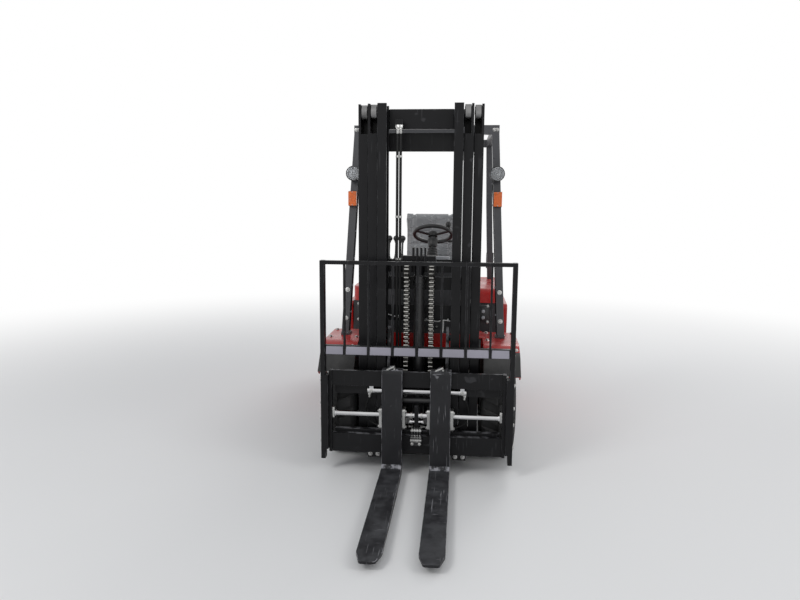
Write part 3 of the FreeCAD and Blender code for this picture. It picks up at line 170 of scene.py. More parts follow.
floor_bm = bmesh.new()
bmesh.ops.create_grid(floor_bm, x_segments=1, y_segments=1, size=14)
floor_mesh = bpy.data.meshes.new("floor")
floor_bm.to_mesh(floor_mesh)
floor_bm.free()
floor = bpy.data.objects.new("floor", floor_mesh)
bpy.context.scene.collection.objects.link(floor)
floor_paint = bpy.data.materials.new("pale_floor")
floor_paint.use_nodes = True
floor_tree = floor_paint.node_tree
floor_shader = floor_tree.nodes["Principled BSDF"]
floor_shader.inputs["Roughness"].default_value = 0.75
floor_shader.inputs["Base Color"].default_value = (0.80, 0.80, 0.79, 1)
reach = floor_tree.nodes.new("ShaderNodeVectorMath")
reach.operation = "LENGTH"
floor_tree.links.new(floor_tree.nodes.new("ShaderNodeTexCoord").outputs["Object"], reach.inputs[0])
far = floor_tree.nodes.new("ShaderNodeMapRange")
far.interpolation_type = "SMOOTHSTEP"
far.inputs["From Min"].default_value, far.inputs["From Max"].default_value = 2.2, 8.0
floor_tree.links.new(reach.outputs["Value"], far.inputs["Value"])
floor_path = floor_tree.nodes.new("ShaderNodeLightPath")
watched = floor_tree.nodes.new("ShaderNodeMath")
watched.operation = "MAXIMUM"
floor_tree.links.new(floor_path.outputs["Is Camera Ray"], watched.inputs[0])
floor_tree.links.new(floor_path.outputs["Is Glossy Ray"], watched.inputs[1])
fade = floor_tree.nodes.new("ShaderNodeMath")
fade.operation = "MULTIPLY"
floor_tree.links.new(far.outputs[0], fade.inputs[0])
floor_tree.links.new(watched.outputs[0], fade.inputs[1])
white = floor_tree.nodes.new("ShaderNodeEmission")
floor_mix = floor_tree.nodes.new("ShaderNodeMixShader")
floor_tree.links.new(fade.outputs[0], floor_mix.inputs[0])
floor_tree.links.new(floor_shader.outputs[0], floor_mix.inputs[1])
floor_tree.links.new(white.outputs[0], floor_mix.inputs[2])
floor_tree.links.new(floor_mix.outputs[0], floor_tree.nodes["Material Output"].inputs["Surface"])
floor_mesh.materials.append(floor_paint)
print("lamps", len(bpy.data.lights))

# %% [markdown]
# ## Effects that several finishes share
#
# Paint, steel and rubber look alike in one way: none of them is even. Each effect below is a
# shader node group with named inputs, made once and dropped into many materials. A group only
# puts out masks and heights, and the shader itself stays in the material.


# %% Helpers for node trees
def new_group(name, inputs, outputs):
    group = bpy.data.node_groups.new(name, "ShaderNodeTree")
    for label, value in inputs:
        socket = group.interface.new_socket(label, in_out="INPUT", socket_type="NodeSocketFloat")
        socket.default_value = value
    for label in outputs:
        group.interface.new_socket(label, in_out="OUTPUT", socket_type="NodeSocketFloat")
    return group, group.nodes.new("NodeGroupInput"), group.nodes.new("NodeGroupOutput")


def calc(tree, operation, a, b=None, clamp=False):
    """A Math node; a and b are sockets or numbers."""
    node = tree.nodes.new("ShaderNodeMath")
    node.operation = operation
    node.use_clamp = clamp
    for slot_number, value in enumerate((a, b)):
        if value is None:
            continue
        if isinstance(value, (int, float)):
            node.inputs[slot_number].default_value = value
        else:
            tree.links.new(value, node.inputs[slot_number])
    return node.outputs[0]


def noise(tree, scale, detail=4, rough=0.55, stretch=(1, 1, 1), turn=(0, 0, 0), factor=None):
    """Noise on object coordinates; stretch above 1 packs it closer along that axis."""
    where = tree.nodes.new("ShaderNodeTexCoord")
    mapping = tree.nodes.new("ShaderNodeMapping")
    mapping.inputs["Scale"].default_value = stretch
    mapping.inputs["Rotation"].default_value = turn
    tree.links.new(where.outputs["Object"], mapping.inputs["Vector"])
    texture = tree.nodes.new("ShaderNodeTexNoise")
    texture.inputs["Scale"].default_value = scale
    texture.inputs["Detail"].default_value = detail
    texture.inputs["Roughness"].default_value = rough
    if factor is not None:
        tree.links.new(calc(tree, "MULTIPLY", factor, scale), texture.inputs["Scale"])
    tree.links.new(mapping.outputs[0], texture.inputs["Vector"])
    return texture.outputs["Fac"]


def step(tree, value, low, high):
    """0 below low, 1 above high, smooth between."""
    node = tree.nodes.new("ShaderNodeMapRange")
    node.interpolation_type = "SMOOTHSTEP"
    node.inputs["From Min"].default_value = low
    node.inputs["From Max"].default_value = high
    tree.links.new(value, node.inputs["Value"])
    return node.outputs[0]


def mix_colour(tree, mask, under, over):
    node = tree.nodes.new("ShaderNodeMix")
    node.data_type = "RGBA"
    tree.links.new(mask, node.inputs[0])
    for socket, value in ((node.inputs[6], under), (node.inputs[7], over)):
        if isinstance(value, (tuple, list)):
            socket.default_value = (*value, 1)
        else:
            tree.links.new(value, socket)
    return node.outputs[2]


# %% Blotches, scratches, dust, grain and rubbed edges
blotches, ins, outs = new_group("blotches", [("Size", 1.0)], ["Mask", "Fine"])
blotches.links.new(step(blotches, noise(blotches, 2.2, 5, factor=ins.outputs["Size"]), 0.36, 0.66),
                   outs.inputs["Mask"])
blotches.links.new(noise(blotches, 38, 3, factor=ins.outputs["Size"]), outs.inputs["Fine"])

scratches, ins, outs = new_group("scratches", [("Amount", 0.5), ("Size", 1.0)], ["Mask"])
long_lines = step(scratches, noise(scratches, 7, 2, stretch=(14, 0.7, 14), turn=(0, 0, 0.06),
                                   factor=ins.outputs["Size"]), 0.62, 0.70)
cross_lines = step(scratches, noise(scratches, 6, 2, stretch=(1.5, 16, 2), turn=(0, 0.4, 0.5),
                                    factor=ins.outputs["Size"]), 0.66, 0.72)
upright_lines = step(scratches, noise(scratches, 7, 2, stretch=(15, 15, 0.8), turn=(0, 0.05, 0),
                                      factor=ins.outputs["Size"]), 0.63, 0.72)
facing = scratches.nodes.new("ShaderNodeNewGeometry")
split = scratches.nodes.new("ShaderNodeSeparateXYZ")
scratches.links.new(facing.outputs["Normal"], split.inputs[0])
to_front = step(scratches, calc(scratches, "ABSOLUTE", split.outputs["Y"]), 0.45, 0.75)
to_side = calc(scratches, "SUBTRACT", 1.0, to_front)
patches = step(scratches, noise(scratches, 3.1, 3), 0.42, 0.62)
lines = calc(scratches, "MAXIMUM", calc(scratches, "MULTIPLY", long_lines, to_side),
             calc(scratches, "MULTIPLY", upright_lines, to_front))
lines = calc(scratches, "MULTIPLY", calc(scratches, "MAXIMUM", lines, cross_lines), patches)
scratches.links.new(calc(scratches, "MULTIPLY", lines, ins.outputs["Amount"], True), outs.inputs["Mask"])

settled_dust, ins, outs = new_group("settled_dust", [("Amount", 0.5)], ["Mask"])
facing = settled_dust.nodes.new("ShaderNodeNewGeometry")
split = settled_dust.nodes.new("ShaderNodeSeparateXYZ")
settled_dust.links.new(facing.outputs["Normal"], split.inputs[0])
level_part = step(settled_dust, split.outputs["Z"], 0.25, 0.95)
uneven = step(settled_dust, noise(settled_dust, 9, 6, 0.65), 0.30, 0.70)
film = calc(settled_dust, "MULTIPLY", level_part, uneven)
haze = calc(settled_dust, "MULTIPLY", step(settled_dust, noise(settled_dust, 4, 5), 0.4, 0.8), 0.25)
total = calc(settled_dust, "MAXIMUM", film, haze)
settled_dust.links.new(calc(settled_dust, "MULTIPLY", total, ins.outputs["Amount"], True), outs.inputs["Mask"])

# Worn edges from a face attribute; on the carriage bars the same mask paints a highlight.
rubbed_edges_and_sheen, ins, outs = new_group("rubbed_edges_and_sheen", [("Amount", 0.5), ("Evenness", 0.0)], ["Mask"])
rub_and_sheen = rubbed_edges_and_sheen.nodes.new("ShaderNodeAttribute")
rub_and_sheen.attribute_name = "rub_and_sheen"
broken = step(rubbed_edges_and_sheen, noise(rubbed_edges_and_sheen, 16, 5, 0.6), 0.44, 0.60)
broken = calc(rubbed_edges_and_sheen, "MAXIMUM", broken, ins.outputs["Evenness"])
worn = calc(rubbed_edges_and_sheen, "MULTIPLY", rub_and_sheen.outputs["Fac"], broken)
rubbed_edges_and_sheen.links.new(calc(rubbed_edges_and_sheen, "MULTIPLY", worn, ins.outputs["Amount"], True), outs.inputs["Mask"])

grain, ins, outs = new_group("grain", [("Size", 1.0)], ["Height"])
cells = grain.nodes.new("ShaderNodeTexVoronoi")
where = grain.nodes.new("ShaderNodeTexCoord")
grain.links.new(where.outputs["Object"], cells.inputs["Vector"])
grain.links.new(calc(grain, "MULTIPLY", ins.outputs["Size"], 420), cells.inputs["Scale"])
ripple = noise(grain, 160, 3, factor=ins.outputs["Size"])
grain.links.new(calc(grain, "ADD", cells.outputs["Distance"], ripple), outs.inputs["Height"])
print("groups", [group.name for group in bpy.data.node_groups])

# %% [markdown]
# ## Finishes
#
# One function builds every opaque finish, because they differ only in numbers: base colour, the
# tone of its blotches, how rough it is, and how much dust, scratching and edge rub it shows.
# Values that don't change over the surface are set straight on the shader.


# %% The function for opaque finishes
def finish(name, colour, tone=0.75, rough=(0.35, 0.5), metal=0.0, dust=0.15, dust_colour=(0.30, 0.29, 0.27),
           scratch=0.0, scratch_colour=(0.35, 0.35, 0.36), rub_and_sheen=0.35, rub_and_sheen_colour=(0.28, 0.28, 0.29),
           evenness=0.0, grain_size=1.0, bump=0.05, size=1.0, coat=0.0, specular=0.5):
    material = bpy.data.materials.new(name)
    material.use_nodes = True
    tree = material.node_tree
    shader = tree.nodes["Principled BSDF"]

    def effect(group, **values):
        node = tree.nodes.new("ShaderNodeGroup")
        node.node_tree = group
        for label, value in values.items():
            node.inputs[label].default_value = value
        return node

    spots = effect(blotches, Size=size)
    darker = tuple(channel * tone for channel in colour)
    base = mix_colour(tree, spots.outputs["Mask"], colour, darker)
    speck = calc(tree, "MULTIPLY", step(tree, spots.outputs["Fine"], 0.55, 0.75), 0.35)
    base = mix_colour(tree, speck, base, darker)
    dusty = effect(settled_dust, Amount=dust)
    base = mix_colour(tree, dusty.outputs["Mask"], base, dust_colour)
    rough_map = tree.nodes.new("ShaderNodeMapRange")
    rough_map.inputs["To Min"].default_value = rough[0]
    rough_map.inputs["To Max"].default_value = rough[1]
    tree.links.new(spots.outputs["Mask"], rough_map.inputs["Value"])
    roughness = calc(tree, "ADD", rough_map.outputs[0],
                     calc(tree, "MULTIPLY", dusty.outputs["Mask"], 0.35), True)
    if scratch:
        lines = effect(scratches, Amount=scratch)
        base = mix_colour(tree, lines.outputs["Mask"], base, scratch_colour)
    # Worn edges in the edge colour, and on the carriage bars a painted highlight.
    if rub_and_sheen:
        edges = effect(rubbed_edges_and_sheen, Amount=rub_and_sheen, Evenness=evenness)
        base = mix_colour(tree, edges.outputs["Mask"], base, rub_and_sheen_colour)
    tree.links.new(base, shader.inputs["Base Color"])
    tree.links.new(roughness, shader.inputs["Roughness"])
    shader.inputs["Metallic"].default_value = metal
    shader.inputs["Specular IOR Level"].default_value = specular
    shader.inputs["Coat Weight"].default_value = coat
    shader.inputs["Coat Roughness"].default_value = 0.12
    skin = effect(grain, Size=grain_size)
    relief = tree.nodes.new("ShaderNodeBump")
    relief.inputs["Strength"].default_value = bump
    relief.inputs["Distance"].default_value = 0.001
    tree.links.new(skin.outputs["Height"], relief.inputs["Height"])
    tree.links.new(relief.outputs[0], shader.inputs["Normal"])
    return material


# %% Paints, metals, rubber and plastics
# Its pale edge colour is worn paint on bevels, and on the tops of the carriage bars a painted highlight.
mast_black = finish("mast_black", (0.008, 0.008, 0.009), rough=(0.28, 0.42), dust=0.10,
                    dust_colour=(0.13, 0.13, 0.13), scratch=0.35, scratch_colour=(0.08, 0.08, 0.085),
                    rub_and_sheen=0.6, rub_and_sheen_colour=(0.20, 0.20, 0.21), bump=0.04, specular=0.19)
frame_grey = finish("frame_grey", (0.036, 0.037, 0.040), rough=(0.34, 0.5), dust=0.3,
                    dust_colour=(0.18, 0.18, 0.17), rub_and_sheen_colour=(0.14, 0.14, 0.15), specular=0.4)
guard_grey = finish("guard_grey", (0.060, 0.061, 0.067), rough=(0.26, 0.40), dust=0.22,
                    dust_colour=(0.20, 0.20, 0.20), rub_and_sheen_colour=(0.2, 0.2, 0.21), bump=0.03)
body_red = finish("body_red", (0.46, 0.012, 0.010), tone=0.84, rough=(0.22, 0.36), dust=0.18,
                  dust_colour=(0.24, 0.11, 0.10), rub_and_sheen=0.4, rub_and_sheen_colour=(0.20, 0.015, 0.012), bump=0.03,
                  coat=0.12, specular=0.34)
casting_red = finish("casting_red", (0.42, 0.011, 0.009), tone=0.80, rough=(0.32, 0.48), dust=0.22,
                     dust_colour=(0.22, 0.10, 0.09), rub_and_sheen=0.45, rub_and_sheen_colour=(0.18, 0.015, 0.012),
                     grain_size=0.35, bump=0.24, coat=0.08, specular=0.34)
fork_steel = finish("fork_steel", (0.014, 0.014, 0.016), rough=(0.32, 0.52), metal=0.0, dust=0.5,
                    dust_colour=(0.090, 0.092, 0.098), scratch=0.9, scratch_colour=(0.20, 0.20, 0.21),
                    rub_and_sheen=0.8, rub_and_sheen_colour=(0.30, 0.30, 0.32), bump=0.10, size=2.0, specular=0.26)
zinc = finish("zinc", (0.50, 0.50, 0.49), tone=0.72, rough=(0.24, 0.42), metal=1.0, dust=0.10,
              rub_and_sheen=0.0, bump=0.05, size=4.0)
chrome = finish("chrome", (0.60, 0.60, 0.61), tone=0.85, rough=(0.06, 0.14), metal=1.0, dust=0.05,
                rub_and_sheen=0.0, bump=0.01, size=3.0)
chain_steel = finish("chain_steel", (0.055, 0.053, 0.050), tone=0.6, rough=(0.26, 0.42), metal=1.0,
                     dust=0.1, rub_and_sheen=1.0, rub_and_sheen_colour=(0.60, 0.59, 0.56), evenness=0.7, bump=0.06, size=6.0)
axle_iron = finish("axle_iron", (0.035, 0.035, 0.036), tone=0.7, rough=(0.5, 0.7), dust=0.4,
                   dust_colour=(0.17, 0.16, 0.15), bump=0.3, grain_size=0.4)
cylinder_black = finish("cylinder_black", (0.020, 0.020, 0.021), rough=(0.24, 0.38), dust=0.10,
                        dust_colour=(0.15, 0.15, 0.15))
tyre_black = finish("tyre_black", (0.030, 0.030, 0.030), tone=0.8, rough=(0.62, 0.82), dust=0.45,
                    dust_colour=(0.13, 0.125, 0.12), rub_and_sheen=0.4, rub_and_sheen_colour=(0.075, 0.073, 0.07),
                    grain_size=0.6, bump=0.18, specular=0.3)
rim_paint = finish("rim_paint", (0.48, 0.48, 0.46), tone=0.80, rough=(0.32, 0.46), dust=0.2,
                   dust_colour=(0.30, 0.28, 0.26), rub_and_sheen=0.3, rub_and_sheen_colour=(0.2, 0.19, 0.18), bump=0.05)
plastic_grey = finish("plastic_grey", (0.040, 0.041, 0.044), tone=0.85, rough=(0.46, 0.60), dust=0.14,
                      dust_colour=(0.20, 0.20, 0.20), rub_and_sheen=0.2, rub_and_sheen_colour=(0.09, 0.09, 0.09),
                      grain_size=1.2, bump=0.22)
plastic_black = finish("plastic_black", (0.020, 0.020, 0.021), tone=0.85, rough=(0.40, 0.55), dust=0.10,
                       dust_colour=(0.16, 0.16, 0.16), rub_and_sheen=0.15, rub_and_sheen_colour=(0.07, 0.07, 0.07),
                       grain_size=1.4, bump=0.18)
floor_rubber = finish("floor_rubber", (0.030, 0.030, 0.030), rough=(0.6, 0.8), dust=0.35,
                      dust_colour=(0.15, 0.145, 0.14), rub_and_sheen=0.2, rub_and_sheen_colour=(0.08, 0.08, 0.08), bump=0.15)
hose_black = finish("hose_black", (0.010, 0.010, 0.010), rough=(0.42, 0.58), dust=0.06,
                    dust_colour=(0.10, 0.10, 0.10), rub_and_sheen=0.0, bump=0.08, specular=0.2)
axle_steel = finish("axle_steel", (0.24, 0.24, 0.24), tone=0.6, rough=(0.28, 0.46), metal=1.0, dust=0.12,
                    rub_and_sheen=0.0, bump=0.06, size=5.0)
pad_yellow = finish("pad_yellow", (0.42, 0.30, 0.07), tone=0.8, rough=(0.45, 0.6), dust=0.2,
                    dust_colour=(0.2, 0.18, 0.15), rub_and_sheen=0.0)
battery_case = finish("battery_case", (0.035, 0.036, 0.040), rough=(0.5, 0.65), dust=0.3,
                      dust_colour=(0.16, 0.16, 0.16))
light_panel = finish("light_panel", (0.38, 0.39, 0.41), tone=0.92, rough=(0.4, 0.5), dust=0.08, rub_and_sheen=0.0,
                     grain_size=1.2, bump=0.1)
strip_grey = finish("strip_grey", (0.30, 0.29, 0.34), tone=0.86, rough=(0.38, 0.5), dust=0.12,
                    scratch=0.4, scratch_colour=(0.12, 0.12, 0.13), rub_and_sheen=0.0, bump=0.04)
# Pale sheath painted near white: a painted highlight for wires in the mast's shade.
wire_pale_with_painted_highlight = finish("wire_pale_with_painted_highlight", (0.82, 0.82, 0.80), tone=0.9, rough=(0.3, 0.4), dust=0.05, rub_and_sheen=0.0)
mirror_bowl = finish("mirror_bowl", (0.80, 0.80, 0.82), tone=0.9, rough=(0.05, 0.12), metal=1.0, dust=0.0,
                     rub_and_sheen=0.0, bump=0.3, grain_size=0.25)
print("finishes", len(bpy.data.materials))

# %% [markdown]
# Lamp lenses are clear plastic, so they need light to pass. The orange one is tinted in its base
# colour, and both keep a plain transmission value so that an exporter can read it.


# %% Lenses
def lens_plastic(name, colour, rough, transmission):
    material = bpy.data.materials.new(name)
    material.use_nodes = True
    tree = material.node_tree
    shader = tree.nodes["Principled BSDF"]
    tone = mix_colour(tree, step(tree, noise(tree, 30, 3), 0.35, 0.75), colour,
                      tuple(channel * 0.86 for channel in colour))
    tree.links.new(tone, shader.inputs["Base Color"])
    haze = tree.nodes.new("ShaderNodeMapRange")
    haze.inputs["To Min"].default_value = rough
    haze.inputs["To Max"].default_value = rough + 0.08
    tree.links.new(noise(tree, 12, 4), haze.inputs["Value"])
    tree.links.new(haze.outputs[0], shader.inputs["Roughness"])
    shader.inputs["Transmission Weight"].default_value = transmission
    shader.inputs["IOR"].default_value = 1.49
    return material


orange_lens = lens_plastic("orange_lens", (1.0, 0.21, 0.035), 0.12, 0.15)
clear_lens = lens_plastic("clear_lens", (0.90, 0.92, 0.93), 0.03, 0.85)
red_lens = lens_plastic("red_lens", (0.60, 0.02, 0.015), 0.12, 0.3)

# %% [markdown]
# ## Rounded edges on every plate
#
# No real edge is perfectly sharp: a flame-cut plate has a small burr, a casting a large round.
# A copy of each CAD piece is merged, its flat triangles are dissolved into whole faces, and its
# sharp edges are bevelled. The bevel's faces also get a face attribute which tells the paint where
# the edge is, so wear shows there. The same attribute also marks a painted highlight on the tops
# of the carriage bars.


# %% Helper that turns a bmesh into a piece
def shade(mesh, angle=32):
    mesh.shade_smooth()
    mesh.set_sharp_from_angle(angle=math.radians(angle))


def piece(name, bm, body, material, replaces=(), angle=32, outward=True):
    bmesh.ops.remove_doubles(bm, verts=bm.verts, dist=0.002 * MM)
    if outward:
        bmesh.ops.recalc_face_normals(bm, faces=bm.faces)
    mesh = bpy.data.meshes.new(name)
    bm.to_mesh(mesh)
    bm.free()
    obj = bpy.data.objects.new(name, mesh)
    bpy.context.scene.collection.objects.link(obj)
    mesh.materials.append(material)
    shade(mesh, angle)
    if body:
        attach(obj, body)
    if replaces:
        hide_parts(*replaces)
    return obj


def bevel(bm, edges, width, segments=2, clamp=True):
    return bmesh.ops.bevel(bm, geom=list(edges), offset=width, offset_type="OFFSET", affect="EDGES",
                           segments=segments, profile=0.5, material=-1, clamp_overlap=clamp)


def body_of(node):
    for body, members in frame["record"]["behaviour"]["bodies"].items():
        if node in members:
            return body


def softened(node, material, width=2.0, segments=2, angle=38):
    """A copy of a CAD node with bevelled edges, which stands for it."""
    bm = bmesh.new()
    bm.from_mesh(nodes[node].data)
    bmesh.ops.remove_doubles(bm, verts=bm.verts, dist=0.01 * MM)
    bmesh.ops.dissolve_limit(bm, angle_limit=math.radians(0.6), verts=bm.verts, edges=bm.edges)
    before = len(bm.faces)
    bm.faces.layers.float.new("rub_and_sheen")
    sharp = [edge for edge in bm.edges
             if len(edge.link_faces) == 2 and edge.calc_face_angle(0) > math.radians(angle)]
    made = bevel(bm, sharp, width * MM, segments)
    mark = bm.faces.layers.float["rub_and_sheen"]
    for face in made["faces"]:
        face[mark] = 1.0
    print(f"{node:20s} faces {before:6d} -> {len(bm.faces):6d}")
    obj = piece(node + "_finish", bm, body_of(node), material, [node], outward=False)
    weighted = obj.modifiers.new("weighted", "WEIGHTED_NORMAL")
    weighted.keep_sharp = True
    return obj


# %% Round every plate
for name, material, width in (
    ("outer_mast", mast_black, 2.5), ("middle_mast", mast_black, 2.5), ("inner_mast", mast_black, 2.5),
    ("crosshead", mast_black, 1.5), ("carriage", mast_black, 2.5), ("positioner_frame", mast_black, 2.5),
    ("load_backrest", mast_black, 2.0), ("hose_manifold", cylinder_black, 1.0),
    ("overhead_guard", guard_grey, 4.0), ("frame", frame_grey, 2.0), ("fenders", body_red, 3.0),
    ("floor_plate", floor_rubber, 2.0), ("front_cowl", plastic_grey, 8.0), ("side_panels", body_red, 8.0),
    ("counterweight", casting_red, 12.0), ("hood", body_red, 8.0), ("seat_frame", plastic_black, 4.0),
    ("drive_axle", axle_iron, 3.0), ("steer_axle", axle_iron, 3.0), ("battery_block", battery_case, 4.0),
    ("pedals", plastic_black, 1.5), ("steering_column", plastic_black, 1.5),
    ("shift_cylinder", cylinder_black, 1.0), ("lift_barrels", cylinder_black, 1.5),
    ("free_lift_barrel", cylinder_black, 1.5), ("tilt_barrels", cylinder_black, 1.5),
    ("tilt_rods", chrome, 0.8), ("lift_rods", chrome, 1.0), ("guide_rods", chrome, 0.8),
    ("fork_left", fork_steel, 2.5), ("fork_right", fork_steel, 2.5),
    ("fork_clamp_left", zinc, 1.5), ("fork_clamp_right", zinc, 1.5),
    ("knuckle_left", axle_iron, 2.0), ("knuckle_right", axle_iron, 2.0),
    ("drive_rim_left", rim_paint, 2.0), ("drive_rim_right", rim_paint, 2.0),
    ("steer_rim_left", rim_paint, 2.0), ("steer_rim_right", rim_paint, 2.0),
    ("signal_lamps", orange_lens, 4.0),
    ("tail_lamps", red_lens, 4.0),
    ("control_levers", plastic_black, 1.5), ("steering_wheel", plastic_black, 1.5),
):
    softened(name, material, width)

# %% [markdown]
# A pale band is painted across the bend of each fork. The faces of the bend look up and forward
# at once, and that is how they are found.

# %% Pale bands on the heels
for name in ("fork_left_finish", "fork_right_finish"):
    mesh = bpy.data.objects[name].data
    marks = mesh.attributes["rub_and_sheen"].data
    heel = [face.index for face in mesh.polygons
            if face.normal.z > 0.2 and face.normal.y < -0.2 and face.center.z < 0.3 and face.center.y > -0.95]
    for index in heel:
        marks[index].value = 1.6
    print(name, "heel faces", len(heel))

# %% [markdown]
# The forks and the side shifter slide on the upper edges of the two bars, which are rubbed bare.
# Every upward face of both bars gets the pale edge colour, so besides that wear it is a painted
# highlight along their tops.

# %% Rubbed bars and a painted highlight
for name in ("carriage_finish", "positioner_frame_finish"):
    mesh = bpy.data.objects[name].data
    marks = mesh.attributes["rub_and_sheen"].data
    # Upward faces get the pale edge colour: bare metal where parts slide, and a painted highlight along the tops.
    edge = [face.index for face in mesh.polygons if face.normal.z > 0.2 and abs(face.center.x) < 0.52]
    for index in edge:
        marks[index].value = 1.3
    print(name, "edge faces", len(edge))

# %% [markdown]
# ## Tyres
#
# A solid forklift tyre is a thick ring of rubber with slanted lugs that meet in a herringbone.
# A displacement map would give soft, melted lugs. Here the carcass is a profile that is spun
# round the axle, and one lug is modelled flat, bevelled, then bent round the wheel and copied.

# %% Shapes that are turned, bolted or cut
X_DIR, Y_DIR, Z_DIR = Vector((1, 0, 0)), Vector((0, 1, 0)), Vector((0, 0, 1))


def aimed(origin, direction):
    """A placement whose Z looks along direction."""
    return Matrix.Translation(origin) @ Vector(direction).to_track_quat("Z", "Y").to_matrix().to_4x4()


def turned(bm, profile, origin, direction, steps=48, closed=False):
    """Spins (along, radius) points round the axis through origin."""
    place = aimed(origin, direction)
    verts = [bm.verts.new(place @ Vector((radius, 0, along))) for along, radius in profile]
    pairs = list(zip(verts, verts[1:])) + ([(verts[-1], verts[0])] if closed else [])
    edges = [bm.edges.new(pair) for pair in pairs]
    made = bmesh.ops.spin(bm, geom=verts + edges, cent=origin, axis=Vector(direction), angle=FULL_TURN,
                          steps=steps, use_merge=True, dvec=(0, 0, 0))
    return made


def rod(bm, start, end, radius, edge=0.0, steps=20, tip_radius=None):
    start, end = Vector(start), Vector(end)
    place = aimed((start + end) / 2, end - start)
    made = bmesh.ops.create_cone(bm, cap_ends=True, segments=steps, radius1=radius,
                                 radius2=radius if tip_radius is None else tip_radius,
                                 depth=(end - start).length, matrix=place)["verts"]
    if edge:
        rims = {e for v in made for e in v.link_edges if any(len(f.verts) > 4 for f in e.link_faces)}
        bevel(bm, rims, edge, 2)
    return made


def block(bm, low, high, edge=0.0, turn=None, segments=2):
    """A bevelled box from its low and high corners; turn is a Matrix applied about its centre."""
    low, high = Vector(low), Vector(high)
    size = high - low
    place = Matrix.Translation((low + high) / 2) @ (turn.to_4x4() if turn else Matrix())
    made = bmesh.ops.create_cube(bm, size=1, matrix=place @ Matrix.Diagonal((*size, 1)))["verts"]
    if edge:
        bevel(bm, {e for v in made for e in v.link_edges}, edge, segments)


def hex_bolt(bm, place, direction, across, height=None, washer=True):
    """A bolt head on a washer, standing on place; direction points away from the plate."""
    direction = Vector(direction).normalized()
    place = Vector(place)
    height = height or across * 0.62
    base = 0.0
    if washer:
        base = across * 0.12
        rod(bm, place - direction * 0.001, place + direction * base, across * 0.92, 0.0004, 20)
    head = place + direction * (base + height / 2)
    made = bmesh.ops.create_cone(bm, cap_ends=True, segments=6, radius1=across / math.sqrt(3),
                                 radius2=across / math.sqrt(3), depth=height,
                                 matrix=aimed(head, direction))["verts"]
    tops = {e for v in made if (v.co - place).dot(direction) > base + height / 2 for e in v.link_edges
            if (e.other_vert(v).co - place).dot(direction) > base + height / 2}
    bevel(bm, tops, across * 0.09, 1)


# %% Carcass and lugs
def limit_at(outline, x):
    """Radius of the tyre's outside at x, read between the outline's points."""
    for (x0, r0), (x1, r1) in zip(outline, outline[1:]):
        if x0 <= abs(x) <= x1:
            return r0 + (r1 - r0) * (abs(x) - x0) / (x1 - x0)
    return outline[-1][1]


def tyre(name, node, centre, half, radius, rim_radius, depth, count, shoulder, body):
    bm = bmesh.new()
    crown = radius - depth
    side = [(half - 0.014, rim_radius), (half - 0.004, rim_radius + 0.016), (half - 0.001, rim_radius + 0.030),
            (half - 0.003, rim_radius + 0.036), (half - 0.003, rim_radius + 0.050),
            (half, rim_radius + 0.056), (half, radius - shoulder), (half - 0.005, crown - 0.016),
            (half - 0.016, crown)]
    profile = [(-x, r) for x, r in side] + [(x, r) for x, r in reversed(side)]
    turned(bm, profile, centre, X_DIR, 96, closed=True)
    outline = [(0, radius), (half - 0.028, radius), (half - 0.008, radius - 0.022), (half, radius - shoulder)]
    pitch = FULL_TURN * radius / count
    width = pitch * 0.54
    inner_x, outer_x = 0.004, half - 0.0025
    for way in (1, -1):
        lug = bmesh.new()
        bmesh.ops.create_grid(lug, x_segments=7, y_segments=3, size=0.5)
        for vert in lug.verts:
            vert.co.x = inner_x + (vert.co.x + 0.5) * (outer_x - inner_x)
            vert.co.y *= width
        made = bmesh.ops.extrude_face_region(lug, geom=lug.faces[:])["geom"]
        bmesh.ops.translate(lug, vec=(0, 0, -(depth + 0.010)),
                            verts=[g for g in made if isinstance(g, bmesh.types.BMVert)])
        bmesh.ops.recalc_face_normals(lug, faces=lug.faces)
        rims = [e for e in lug.edges if e.calc_face_angle(0) > 1.2 and
                all(v.co.z > -0.001 for v in e.verts)]
        bevel(lug, rims, 0.004, 2)
        for vert in lug.verts:
            x, along, drop = vert.co
            along += (x - inner_x) * 0.42 - way * pitch / 4
            r = limit_at(outline, x) + drop
            vert.co = (way * x, r * math.sin(along / radius), r * math.cos(along / radius))
        lug_mesh = bpy.data.meshes.new("lug")
        lug.to_mesh(lug_mesh)
        lug.free()
        for i in range(count):
            lug_mesh.transform(Matrix.Rotation(FULL_TURN / count, 4, "X"))
            placed = lug_mesh.copy()
            placed.transform(Matrix.Translation(centre))
            bm.from_mesh(placed)
            bpy.data.meshes.remove(placed)
        bpy.data.meshes.remove(lug_mesh)
    return piece(name, bm, body, tyre_black, [node])


joint_at = {joint["child"]: Vector(joint["pos_m"]) for joint in frame["joints"] if "pos_m" in joint}
for side_name, sign in SIDES:
    tyre(f"drive_tread_{side_name}", f"drive_tyre_{side_name}", joint_at[f"drive_wheel_{side_name}"],
         0.110, 0.353, 0.190, 0.022, 18, 0.075, f"drive_wheel_{side_name}")
    tyre(f"steer_tread_{side_name}", f"steer_tyre_{side_name}", joint_at[f"steer_wheel_{side_name}"],
         0.0825, 0.2875, 0.145, 0.017, 18, 0.055, f"steer_wheel_{side_name}")

# %% [markdown]
# ## Wheel nuts and hub caps
#
# The rims keep their turned CAD shape. What is missing are the nuts on their bolt circle, each
# with the end of its stud, which is how a wheel reads as something that comes off.


# %% Nuts round a hub
def wheel_nuts(name, centre, sign, face, circle, count, across, body):
    bm = bmesh.new()
    for i in range(count):
        angle = FULL_TURN * i / count
        foot = centre + Vector((sign * face, circle * math.sin(angle), circle * math.cos(angle)))
        hex_bolt(bm, foot, (sign, 0, 0), across, across * 0.55)
        rod(bm, foot, foot + Vector((sign * across * 0.95, 0, 0)), across * 0.28, 0.001, 12)
    return piece(name, bm, body, zinc)


